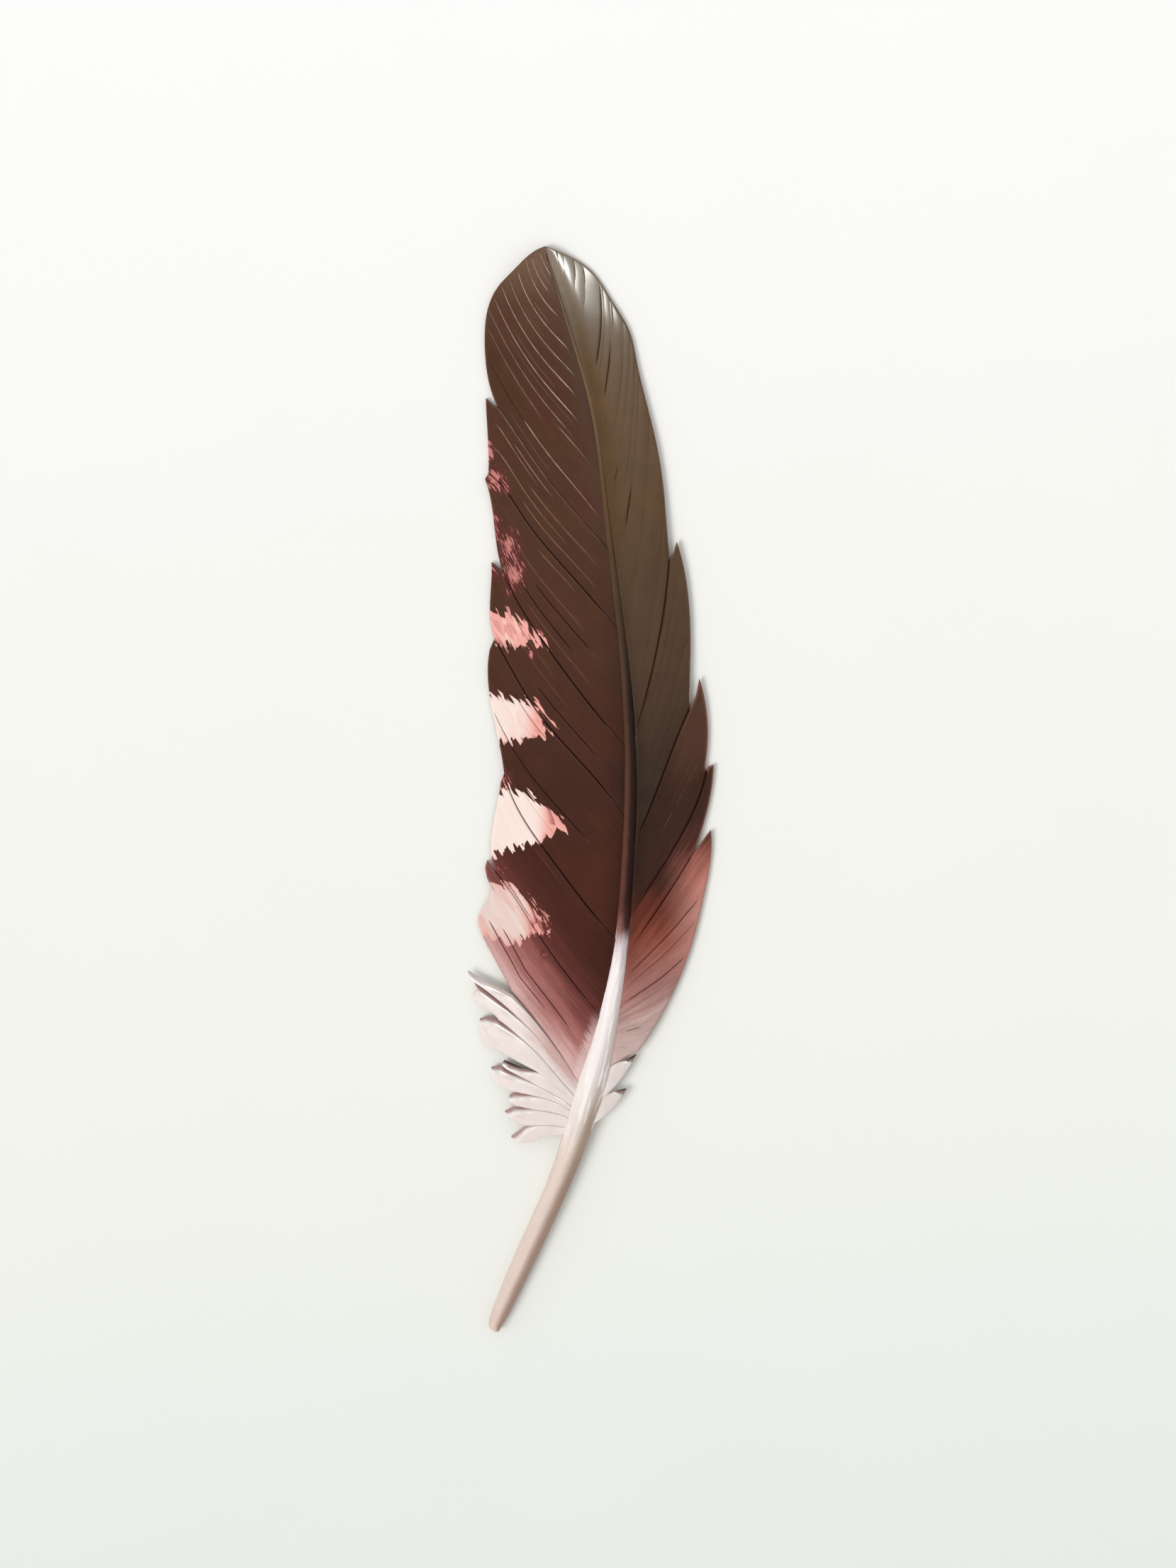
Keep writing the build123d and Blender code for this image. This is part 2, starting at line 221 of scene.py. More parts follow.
class Outline:
    """The four sides of a leaf: root, upper, outer and lower, all in plan.

    upper and lower run from the shaft outwards, along the parting lines and along any free
    edge that lies in line with the barbs.  outer runs down the free edge between them.
    """

    def __init__(self, piece, above, below, shaft, mirrored, pointed):
        rim = np.vstack([piece.rim, piece.rim[:1]])
        if mirrored:
            rim = rim[::-1]
        rim = resample(rim, step=OUTLINE_STEP)[:-1]
        tags = [self.tag(p, above, below, shaft) for p in rim]
        first = next(k for k in range(len(rim)) if tags[k] == "root" and tags[k - 1] != "root")
        rim = np.roll(rim, -first, axis=0)
        tags = tags[first:] + tags[:first]
        root_end = max(k for k, tag in enumerate(tags) if tag == "root")
        uppers = [k for k, tag in enumerate(tags) if tag == "above"]
        lowers = [k for k, tag in enumerate(tags) if tag == "below" and k > root_end]
        upper_end = max(uppers) if uppers else root_end
        lower_start = min(lowers) if lowers else len(rim) - 1
        centre = rim[: root_end + 1, :2].mean(0)
        rim = np.vstack([rim, rim[:1]])
        if pointed:
            tip = int(np.argmax(np.linalg.norm(rim[:, :2] - centre, axis=1)))
            upper_end, lower_start = tip - TIP_SPAN, tip + TIP_SPAN
        else:
            upper_end, lower_start = self.widen(rim, upper_end, lower_start, centre)
        self.free = rim[max(uppers or [root_end]): min(lowers or [len(rim) - 1]) + 1, :2]
        self.root = smooth(rim[: root_end + 1][::-1, :2], rounds=6)
        self.upper = smooth(rim[root_end: upper_end + 1, :2], rounds=3)
        self.outer = smooth(rim[upper_end: lower_start + 1, :2], rounds=2)
        self.lower = smooth(rim[lower_start:][::-1, :2], rounds=3)
        self.root[0], self.root[-1] = self.upper[0], self.lower[0]

    @staticmethod
    def tag(point, above, below, shaft):
        """Which neighbour the outline touches at a point."""
        for tag, piece in (("root", shaft), ("above", above), ("below", below)):
            if piece is not None and piece.near(*point) < TOUCH:
                return tag
        return "free"

    @staticmethod
    def widen(rim, upper_end, lower_start, centre):
        """Moves the corners out along stretches of free edge that run in line with the barbs."""
        while upper_end + CORNER_SPAN < lower_start:
            run = rim[upper_end + CORNER_SPAN, :2] - rim[upper_end, :2]
            out = rim[upper_end, :2] - centre
            if run @ out < UPPER_LINE * np.linalg.norm(run) * np.linalg.norm(out):
                break
            upper_end += 1
        while lower_start - CORNER_SPAN > upper_end:
            run = rim[lower_start, :2] - rim[lower_start - CORNER_SPAN, :2]
            inward = centre - rim[lower_start, :2]
            if run @ inward < LOWER_LINE * np.linalg.norm(run) * np.linalg.norm(inward):
                break
            lower_start -= 1
        return upper_end, lower_start


def fit_height(pieces, reader, degree):
    """A smooth height over x and y, fitted to rays cast on the CAD pieces."""
    spacing = TUFT_RAYS if degree == TUFT_DEGREE else VANE_RAYS
    places = []
    heights = []
    for piece in pieces:
        low, high = piece.rim[:, :2].min(0), piece.rim[:, :2].max(0)
        for x in np.arange(low[0] + RAY_INSET, high[0], spacing):
            for y in np.arange(low[1] + RAY_INSET, high[1], spacing):
                hit = reader(piece, x, y)
                if hit is not None:
                    places.append((x, y))
                    heights.append(hit.z)
    places = np.array(places)

    def basis(x, y):
        return [(x / HALF_WIDTH) ** i * (y / HALF_LENGTH) ** j
                for i in range(degree + 1) for j in range(degree + 1) if degree > 1 or i + j < 2]

    table = np.stack(basis(places[:, 0], places[:, 1]), 1)
    weights = np.linalg.lstsq(table, np.array(heights), rcond=None)[0]
    return lambda x, y: sum(w * term for w, term in zip(weights, basis(x, y)))


def fit_surfaces(pieces, degree):
    """The fitted heights of the top and of the underside."""
    return fit_height(pieces, CadPiece.top, degree), fit_height(pieces, CadPiece.bottom, degree)


# ---------------------------------------------------------------- adding to the scene
def new_mesh(name, points, faces, material):
    """A smooth-shaded mesh from points in millimetres."""
    mesh = bpy.data.meshes.new(name + "_carved")
    mesh.from_pydata((np.asarray(points) * MM).tolist(), [], faces)
    mesh.materials.append(material)
    mesh.shade_smooth()
    return mesh


def set_values(mesh, key, values):
    """Stores one number at every vertex, for the paint to read."""
    layer = mesh.attributes.new(key, "FLOAT", "POINT")
    layer.data.foreach_set("value", values.astype(np.float32))


def add_object(name, data):
    thing = bpy.data.objects.new(name, data)
    bpy.context.scene.collection.objects.link(thing)
    return thing


def add_piece(name, mesh):
    """Puts a finished mesh in the place of the CAD node of this name."""
    piece = add_object(name + "_carved", mesh)
    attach(piece, "root")
    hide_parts(name)


# ---------------------------------------------------------------- leaf meshes
def along_curve(points, fractions):
    """Points at these fractions of a polyline's length."""
    dense = resample(points, count=CURVE_POINTS)
    spots = np.clip(fractions, 0, 1) * (len(dense) - 1)
    return np.stack([np.interp(spots, range(len(dense)), dense[:, k]) for k in range(2)], -1)


def patch(outline, v, t, lead, bow):
    """Plan positions of rows v (0 upper, 1 lower) and columns t (0 shaft, 1 outer edge).

    lead crowds the barbs towards the upper end of the root, and bow bends them downwards,
    most at two thirds of their length, and not at all along the parting lines.
    """
    sag = 27 / 4 * t ** 2 * (1 - t)
    v = v[:, None] + bow * sag * np.minimum(1, 8 * v * (1 - v))[:, None]
    upper = along_curve(outline.upper, t)[None, :, :]
    lower = along_curve(outline.lower, t)[None, :, :]
    root = along_curve(outline.root, 1 - (1 - v) ** lead)
    outer = along_curve(outline.outer, v)
    v = v[:, :, None]
    t = t[None, :, None]
    corners = ((1 - v) * (1 - t) * outline.root[0] + v * (1 - t) * outline.root[-1]
               + (1 - v) * t * outline.outer[0] + v * t * outline.outer[-1])
    return (1 - v) * upper + v * lower + (1 - t) * root + t * outer - corners


def perpendicular_run(outline, lead, bow):
    """Distance across the barbs, in millimetres, at evenly spaced v."""
    v = np.linspace(0, 1, V_SAMPLES)
    grid = patch(outline, v, RUN_SAMPLES, lead, bow)
    across = np.gradient(grid, axis=0)
    along = np.gradient(grid, axis=1)
    along /= np.linalg.norm(along, axis=2)[:, :, None] + 1e-9
    step = np.abs(across[:, :, 0] * along[:, :, 1] - across[:, :, 1] * along[:, :, 0]).mean(1)
    return v, np.concatenate([[0], np.cumsum((step[1:] + step[:-1]) / 2)])


def merged(values, gap):
    """Sorted values with those closer than gap to the one before left out."""
    kept = []
    for value in sorted(values):
        if not kept or value - kept[-1] > gap:
            kept.append(value)
    return np.array(kept)


def score_width(strength):
    """Half the width of a scored line."""
    return SCORE_WIDTH * (0.55 + 0.45 * strength)


def row_places(total, scores):
    """Where the mesh rows lie across the barbs: evenly, and closer at cuts and scored lines."""
    places = list(EDGE_ROWS) + [total - d for d in EDGE_ROWS]
    for place, _, _, strength, _ in scores:
        width = score_width(strength)
        places += [place * total + width * k for k in SCORE_ROWS]
    fine = merged([p for p in places if 0 <= p <= total], ROW_GAP)
    coarse = np.linspace(0, total, max(3, int(total / ROW_STEP)))
    extra = [p for p in coarse if np.abs(fine - p).min() > 0.3 * ROW_STEP]
    return np.array(sorted(list(fine) + extra))


def column_places(length):
    """Fractions of the barbs' length at the mesh columns, closer at both ends."""
    places = [d / length for d in EDGE_COLUMNS] + [1 - d / length for d in EDGE_COLUMNS]
    places += list(np.linspace(0, 1, max(4, int(length / COLUMN_STEP))))
    fine = merged([p for p in places if 0 <= p <= 1], COLUMN_GAP / length)
    fine[-1] = 1.0
    return fine


def ease(x, low, high):
    """0 below low, 1 above high, smooth between."""
    f = np.clip((x - low) / (high - low), 0, 1)
    return f * f * (3 - 2 * f)


class Leaf:
    """One barb leaf's fine mesh."""

    def __init__(self, name, outline, top, bottom, look):
        self.name = name
        self.look = look
        shape = (look["lead"], look["bow"])
        v_even, run = perpendicular_run(outline, *shape)
        self.total = run[-1]
        self.scores = self.main_scores(outline, shape, v_even, run)
        self.scores += self.fine_scores()
        self.rows = row_places(self.total, self.scores)
        v = np.interp(self.rows, run, v_even)
        mean_length = (length_of(outline.upper) + length_of(outline.lower)) / 2
        t = column_places(max(mean_length, SHORTEST))
        plan = patch(outline, v, t, *shape)
        self.x, self.y = plan[:, :, 0], plan[:, :, 1]
        self.t = np.broadcast_to(t, self.x.shape)
        self.row = np.broadcast_to(self.rows[:, None], self.x.shape)
        steps = np.linalg.norm(np.diff(plan, axis=1), axis=2)
        self.along = np.concatenate([np.zeros((len(v), 1)), np.cumsum(steps, axis=1)], 1)
        self.free = self.distance_to(outline.free)
        self.gap = self.distance_to(outline.upper)
        self.measure_heights(top, bottom)

    def main_scores(self, outline, shape, v_even, run):
        """Each scored line: its place across the barbs, where it starts and ends along them, as
        fractions, and its strength and tone."""
        t = np.linspace(0, 1, T_SAMPLES)
        grid = patch(outline, v_even, t, *shape)
        lines = []
        for strength, tone, *points in self.look["scores"]:
            spots = []
            for x, y in points:
                gaps = np.hypot(grid[:, :, 0] - x, grid[:, :, 1] - y)
                spots.append(np.unravel_index(np.argmin(gaps), gaps.shape))
            across = np.interp(np.mean([v_even[i] for i, _ in spots]), v_even, run / run[-1])
            reach = [t[j] for _, j in spots]
            lines.append((across, min(reach), max(reach), strength, tone))
        return lines

    def fine_scores(self):
        """Fainter scored lines between the main ones."""
        spacing, strength, *tones = self.look["fine"]
        chance = np.random.default_rng([SEED, len(self.name), int(self.total * 10)])
        lines = []
        place = spacing * chance.uniform(0.5, 1.0)
        while spacing and place < self.total - FINE_MARGIN:
            taken = [abs(place - line[0] * self.total) for line in self.scores]
            if min(taken, default=math.inf) > FINE_CLEAR:
                start, end = chance.uniform(0.03, 0.45), chance.uniform(0.65, 0.98)
                force = chance.uniform(0.5, 1.0)
                tone = force * chance.choice(tones)
                lines.append((place / self.total, start, end, strength * force, tone))
            place += spacing * chance.uniform(0.7, 1.35)
        return lines

    def distance_to(self, points):
        """Plan distance from every vertex to a line in plan."""
        tree = kdtree.KDTree(len(points) * 3)
        dense = resample(points, count=len(points) * 3)
        for k, (x, y) in enumerate(dense):
            tree.insert((x, y, 0), k)
        tree.balance()
        flat = [tree.find((x, y, 0))[2] for x, y in zip(self.x.ravel(), self.y.ravel())]
        return np.array(flat).reshape(self.x.shape)

    def measure_heights(self, top, bottom):
        """Heights of the top and of the underside, and how near the worn free edge is."""
        self.flank = np.zeros_like(self.x)
        self.crest = np.zeros_like(self.x)
        base = top(self.x, self.y)
        under = np.minimum(bottom(self.x, self.y), base - LEAST_SHELL)
        self.tone = np.zeros_like(base)
        relief = self.crowns() - self.cuts()
        if self.look["tuft"]:
            relief += self.wall()
        else:
            relief += SHINGLE_RISE * np.exp(-self.row / SHINGLE_REACH)
            relief -= SHINGLE_DROP * np.exp(-(self.total - self.row) / SHINGLE_REACH)
        groove = ROOT_DEPTH * np.exp(-((self.along / ROOT_REACH) ** 2))
        relief -= groove * (1 - 0.9 * ease(self.y, 35, 70))
        if self.look["shoulder"]:
            worn = np.clip(1 - self.free / SHOULDER_WIDTH, 0, 1) ** 2 * ease(self.y, 104, 117)
            relief -= SHOULDER_DROP * worn * ease(self.x, -17, -9)
        upper = base + relief
        near = np.clip(1 - self.free / EDGE_ROUND, 0, 1)
        closing = EDGE_CLOSING * (1 - np.sqrt(1 - near ** 2 + 1e-9))
        thickness = np.maximum(upper - under, LEAST_LEAF)
        self.top_z = np.maximum(upper - thickness * TOP_SHARE * closing, LEAST_TOP)
        self.bottom_z = np.maximum(upper - thickness, under) + thickness * UNDER_SHARE * closing
        self.bottom_z = np.maximum(np.minimum(self.bottom_z, self.top_z - LEAST_EDGE), 0.0)
        self.rim = near

    def crowns(self):
        """Each band between two scored lines is slightly rounded, like a bundle of barbs."""
        lines = np.array(sorted([0.0, 1.0] + [line[0] for line in self.scores])) * self.total
        slot = np.clip(np.searchsorted(lines, self.rows, side="right") - 1, 0, len(lines) - 2)
        width = np.maximum(lines[slot + 1] - lines[slot], 1e-6)
        f = np.clip((self.rows - lines[slot]) / width, 0, 1)
        height = CROWN_HEIGHT * np.minimum(width / CROWN_WIDTH, 1.0) * 4 * f * (1 - f)
        return height[:, None] * ease(self.t, 0.1, 0.5)

    def cuts(self):
        """Depth of the scored barb lines and of the cuts between leaves."""
        depth = np.zeros_like(self.x)
        for place, start, end, strength, tone in self.scores:
            side = (self.row - place * self.total) / score_width(strength)
            side = np.where(side > 0, side * STEEP_SIDE, side * SHALLOW_SIDE)
            shape = np.clip(1 - np.abs(side), 0, 1)
            opening = ease(self.t, start - 0.03, start + 0.10)
            fade = opening * (1 - ease(self.t, end - 0.05, end + 0.02))
            depth = np.maximum(depth, SCORE_DEPTH * strength * shape * fade)
            # Painted light: tan is a highlight on the lit wall, shade on the other; dark lines are shade.
            lit = np.clip(1.15 - np.abs(side + 0.35) * 1.4, 0, 1) * fade
            shaded = np.clip(1 - np.abs(side - 0.5) * 1.5, 0, 1) * fade
            whole = np.clip(1.2 - np.abs(side), 0, 1) * fade
            mark = tone * lit - 0.45 * shaded if tone > 0 else tone * whole
            self.tone = np.where(whole > 0.02, mark, self.tone)
        open_from, open_to = self.look["parted"]
        upper_cut = 0.0 if self.look["shoulder"] else 1.0
        upper_tone, lower_tone = self.look["parting_tones"]
        edges = ((self.row, upper_cut, upper_tone), (self.total - self.row, 1.0, lower_tone))
        # The parting cuts take painted highlight where their tone is tan, painted shade where dark.
        for edge, cut, tone in edges:
            shared = cut * ease(self.free, 0.1, 0.6) * ease(self.t, open_from, open_to)
            shape = np.clip(1 - edge / PARTING_WIDTH, 0, 1)
            depth = np.maximum(depth, PARTING_DEPTH * shape * shared)
            self.tone = np.where(shape > 0.02, shape * shared * tone, self.tone)
        return depth

    def wall(self):
        """The steep upper flank of a tuft, below its crest."""
        opening = ease(self.t, WALL_START, WALL_START + 0.4)
        width = WALL_WIDTH + WALL_SPREAD * opening * (1 - 0.5 * ease(self.t, 0.9, 1.0))
        rise = np.clip(self.gap / width, 0, 1) ** 0.85
        # flank: how much painted shade lies on the flank; crest: a painted highlight along the crest.
        self.flank = (1 - rise) * opening * self.look["hollow"]
        self.crest = np.clip(1 - np.abs(self.gap - width - 0.1) / CREST_HALF, 0, 1)
        self.crest *= ease(self.t, WALL_START - 0.2, WALL_START + 0.2)
        level = -ROOT_SINK * (1 - self.row / self.total) * (1 - ease(self.t, 0.25, 0.6))
        lift = CREST_RISE * ease(self.t, 0.3, 0.9) * np.exp(-((self.gap - width) / CREST_REACH) ** 2)
        return (rise - 1) * WALL_DROP * (0.04 + 0.96 * opening) + lift * rise + level

    def build(self, material, offset):
        """Makes the closed mesh, top and underside, with the values that its paint reads."""
        top = np.stack([self.x, self.y, self.top_z], 2).reshape(-1, 3)
        under = np.stack([self.x, self.y, self.bottom_z], 2).reshape(-1, 3)
        size = self.x.size
        index = np.arange(size).reshape(self.x.shape)
        corners = [index[:-1, :-1], index[:-1, 1:], index[1:, 1:], index[1:, :-1]]
        quads = np.stack(corners, 2).reshape(-1, 4)
        loop = np.concatenate([index[0, :-1], index[:-1, -1], index[-1, :0:-1], index[:0:-1, 0]])
        following = np.roll(loop, -1)
        sides = np.stack([loop, loop + size, following + size, following], 1)
        faces = np.vstack([quads, quads[:, ::-1] + size, sides])
        p = top[quads[len(quads) // 2]]
        if np.cross(p[1] - p[0], p[2] - p[0])[2] <= 0:
            faces = faces[:, ::-1]
        mesh = new_mesh(self.name, np.vstack([top, under]), faces.tolist(), material)
        bar, pink = painted_bars(self.x, self.y)
        # wall and crest carry the tufts' painted shade and highlight; tone that of the cuts.
        values = {"row": self.row + offset, "along": self.along, "tone": self.tone, "rim": self.rim,
                  "bar": bar, "pink": pink, "dab": painted_dabs(self.x, self.y),
                  "wall": self.flank, "crest": self.crest}
        for key, value in values.items():
            below = np.full(value.shape, NO_BAR) if key == "bar" else value
            set_values(mesh, key, np.concatenate([value.ravel(), below.ravel()]))
        mesh.set_sharp_from_angle(angle=math.radians(SHARP_ANGLE))
        add_piece(self.name, mesh)


# ---------------------------------------------------------------- painted bars of the left vane
NO_BAR = -10.0  # the depth into a bar of places far from one
BARS_END_X = -5  # there are none to the right of this
# Each bar: its upper and lower edge as points from the outer edge inwards, where it ends
# towards the shaft, and how pink it is (0 cream, 1 pink).
BARS = [
    ([(-23, 40), (-18, 41), (-11.5, 35.8)], [(-23, 34.5), (-20, 32.6), (-11.5, 32.8)], -11.0, 0.8),
    ([(-24, 22.3), (-12, 19.5), (-9.3, 15)], [(-23, 12.5), (-20, 10.8), (-9.3, 12.6)], -9.0, 0.25),
    ([(-22, 0), (-15.5, -0.5), (-7, -6.5)], [(-23, -15), (-16, -13.7), (-7, -9.5)], -6.6, 0.1),
    ([(-23, -22), (-18, -21.7), (-10, -29.5)], [(-26, -33.2), (-18, -35.7), (-10, -32.8)], -9.6, 0.48),
]
# Broken rose dabs on the brown: centre, radii and strength.
DABS = [
    ((-23.4, 77.5), (1.0, 2.8), 1.3), ((-22.0, 71.5), (2.2, 3.0), 1.35), ((-19.6, 69.0), (1.2, 1.8), 1.0),
    ((-22.0, 60.5), (1.6, 4.0), 0.9), ((-19.0, 55.5), (2.8, 4.5), 1.1), ((-17.6, 49.6), (2.6, 3.6), 1.25),
    ((-22.2, 50.5), (1.2, 2.5), 0.9), ((-18.6, 45.5), (0.9, 1.5), 0.9), ((-13.8, 31.0), (0.8, 1.8), 0.9),
    ((-22.5, 22.0), (0.8, 1.6), 0.7), ((-20.0, 1.6), (2.0, 2.6), 1.15), ((-9.0, -8.0), (2.0, 1.2), 0.9),
    ((-11.2, -32.0), (2.2, 2.6), 1.0), ((-11.0, -38.0), (0.7, 1.2), 1.0), ((-20.5, -18.5), (1.6, 1.6), 0.6),
]


def painted_bars(x, y):
    """Signed distance into the nearest painted bar, in millimetres, and how pink it is there."""
    depth = np.full(x.shape, NO_BAR)
    pink = np.zeros_like(x)
    for upper, lower, end, tint in BARS:
        top = np.interp(x, *np.array(upper).T)
        low = np.interp(x, *np.array(lower).T)
        inside = np.minimum(np.minimum(top - y, y - low), (end - x) * 0.8)
        pink = np.where(inside > depth, tint + 1.25 * ease(x, end - 7.0, end - 0.5), pink)
        depth = np.maximum(depth, inside)
    return np.where(x < BARS_END_X, np.maximum(depth, NO_BAR), NO_BAR), pink


def painted_dabs(x, y):
    """How thickly the broken rose dabs lie, from 0 to about 1."""
    thick = np.zeros_like(x)
    for (cx, cy), (rx, ry), strength in DABS:
        thick = np.maximum(thick, strength * np.exp(-((x - cx) / rx) ** 2 - ((y - cy) / ry) ** 2))
    return thick


# ---------------------------------------------------------------- shaft mesh
def shaft_rings(piece):
    """Rings of points round the CAD shaft, from the calamus end to the tip."""
    angles = np.linspace(0, 2 * math.pi, RING_POINTS, endpoint=False)
    ends = [CALAMUS_Y + d for d in END_RINGS]
    rings = []
    for y in ends + list(np.linspace(CALAMUS_Y + END_SPAN, SHAFT_TIP_Y, RING_COUNT)):
        centre = shaft_centre(piece, y)
        if centre is None:
            continue
        ring = []
        for angle in angles:
            hit = piece.hit(centre, (math.cos(angle), 0, math.sin(angle)))
            ring.append(tuple(hit if hit is not None else centre))
        rings.append(ring)
    return np.array(rings)


def shaft_centre(piece, y):
    """Middle of the CAD shaft's section at this y, or None past its ends."""
    z = piece.tree.find_nearest(Vector((0, y, 3)))[0].z
    widths = []
    for level in (z, z - 0.3, z + 0.3, 3.0, 2.0, 4.0):
        left = piece.hit((-BESIDE, y, level), (1, 0, 0))
        right = piece.hit((BESIDE, y, level), (-1, 0, 0))
        if left is not None and right is not None and right.x - left.x > NARROWEST:
            widths.append((right.x - left.x, (left.x + right.x) / 2))
    if not widths:
        return None
    x = max(widths)[1]
    top, under = piece.top(x, y), piece.bottom(x, y)
    if top is None or under is None:
        return None
    return Vector((x, y, (top.z + under.z) / 2))


def relief_on_shaft(rings):
    """Shallow knife facets along the shaft, inside the CAD surface, and a worn calamus end."""
    centre = rings.mean(1, keepdims=True)
    around = np.linspace(0, 2 * math.pi, rings.shape[1], endpoint=False)[None, :, None]
    y = rings[:, :, 1:2]
    wave = np.sin(3 * around + 0.05 * y) * np.sin(0.11 * y + 1.3 * np.sin(around))
    ripple = RIPPLE_DEPTH * (1 + np.sin(0.9 * y + 4 * np.sin(around + 0.03 * y)))
    radius = np.maximum(np.linalg.norm(rings - centre, axis=2, keepdims=True), 0.5)
    facets = np.clip((FACET_DEPTH * (0.5 + 0.5 * wave) + ripple) / radius, 0, FACET_LIMIT)
    above_end = y - CALAMUS_Y
    shrink = np.where(above_end < PLAIN_END, 1.0, 1 - facets)
    shrink = shrink * (1 - END_WEAR * (1 - ease(above_end, 0, END_REACH)))
    rings = centre + (rings - centre) * shrink
    rings[:, :, 2:] -= SHAFT_SINK * ease(y, 55, 90) * np.maximum(np.sin(around), 0.0)
    return rings


def build_shaft(piece, material):
    """The shaft as rings of quads, closed by a fan at both ends."""
    rings = relief_on_shaft(shaft_rings(piece))
    count, around = rings.shape[:2]
    poles = np.stack([rings[0].mean(0), rings[-1].mean(0)])
    poles[0][1] = CALAMUS_Y
    index = np.arange(count * around).reshape(count, around)
    wrapped = np.roll(index, -1, axis=1)
    quads = np.stack([index[:-1], index[1:], wrapped[1:], wrapped[:-1]], 2).reshape(-1, 4)
    first = [(int(a), int(b), count * around) for a, b in zip(index[0], wrapped[0])]
    last = [(int(b), int(a), count * around + 1) for a, b in zip(index[-1], wrapped[-1])]
    points = np.vstack([rings.reshape(-1, 3), poles])
    mesh = new_mesh("shaft", points, quads.tolist() + first + last, material)
    shell = bmesh.new()
    shell.from_mesh(mesh)
    bmesh.ops.recalc_face_normals(shell, faces=shell.faces)
    shell.to_mesh(mesh)
    shell.free()
    # Which way each ring point faces, 1 to the right, for the shaft's painted light and shade
    turn = np.tile(np.cos(np.linspace(0, 2 * math.pi, around, endpoint=False)), count)
    set_values(mesh, "turn", np.concatenate([turn, [0.0, 0.0]]))
    add_piece("shaft", mesh)


# ---------------------------------------------------------------- paint and varnish
NOISE_GAIN = 2.8  # spreads a noise texture's 0 to 1, mostly near the middle, to about -1 to 1
BARE_SHINE = 0.05  # specular level of the paint itself
COAT_ROUGHNESS = 0.2


def tone_of(red, green, blue):
    """Linear colour from 8-bit sRGB values."""
    parts = [c / 255 for c in (red, green, blue)]
    linear = [c / 12.92 if c <= 0.0404 else ((c + 0.055) / 1.055) ** 2.4 for c in parts]
    return (*linear, 1.0)


class Value:
    """What a node puts out.  Sums, differences and products of Values are nodes too."""

    def __init__(self, paint, socket):
        self.paint = paint
        self.socket = socket

    def __add__(self, other):
        return self.paint.math("ADD", self, other)

    def __sub__(self, other):
        return self.paint.math("SUBTRACT", self, other)

    def __mul__(self, other):
        return self.paint.math("MULTIPLY", self, other)


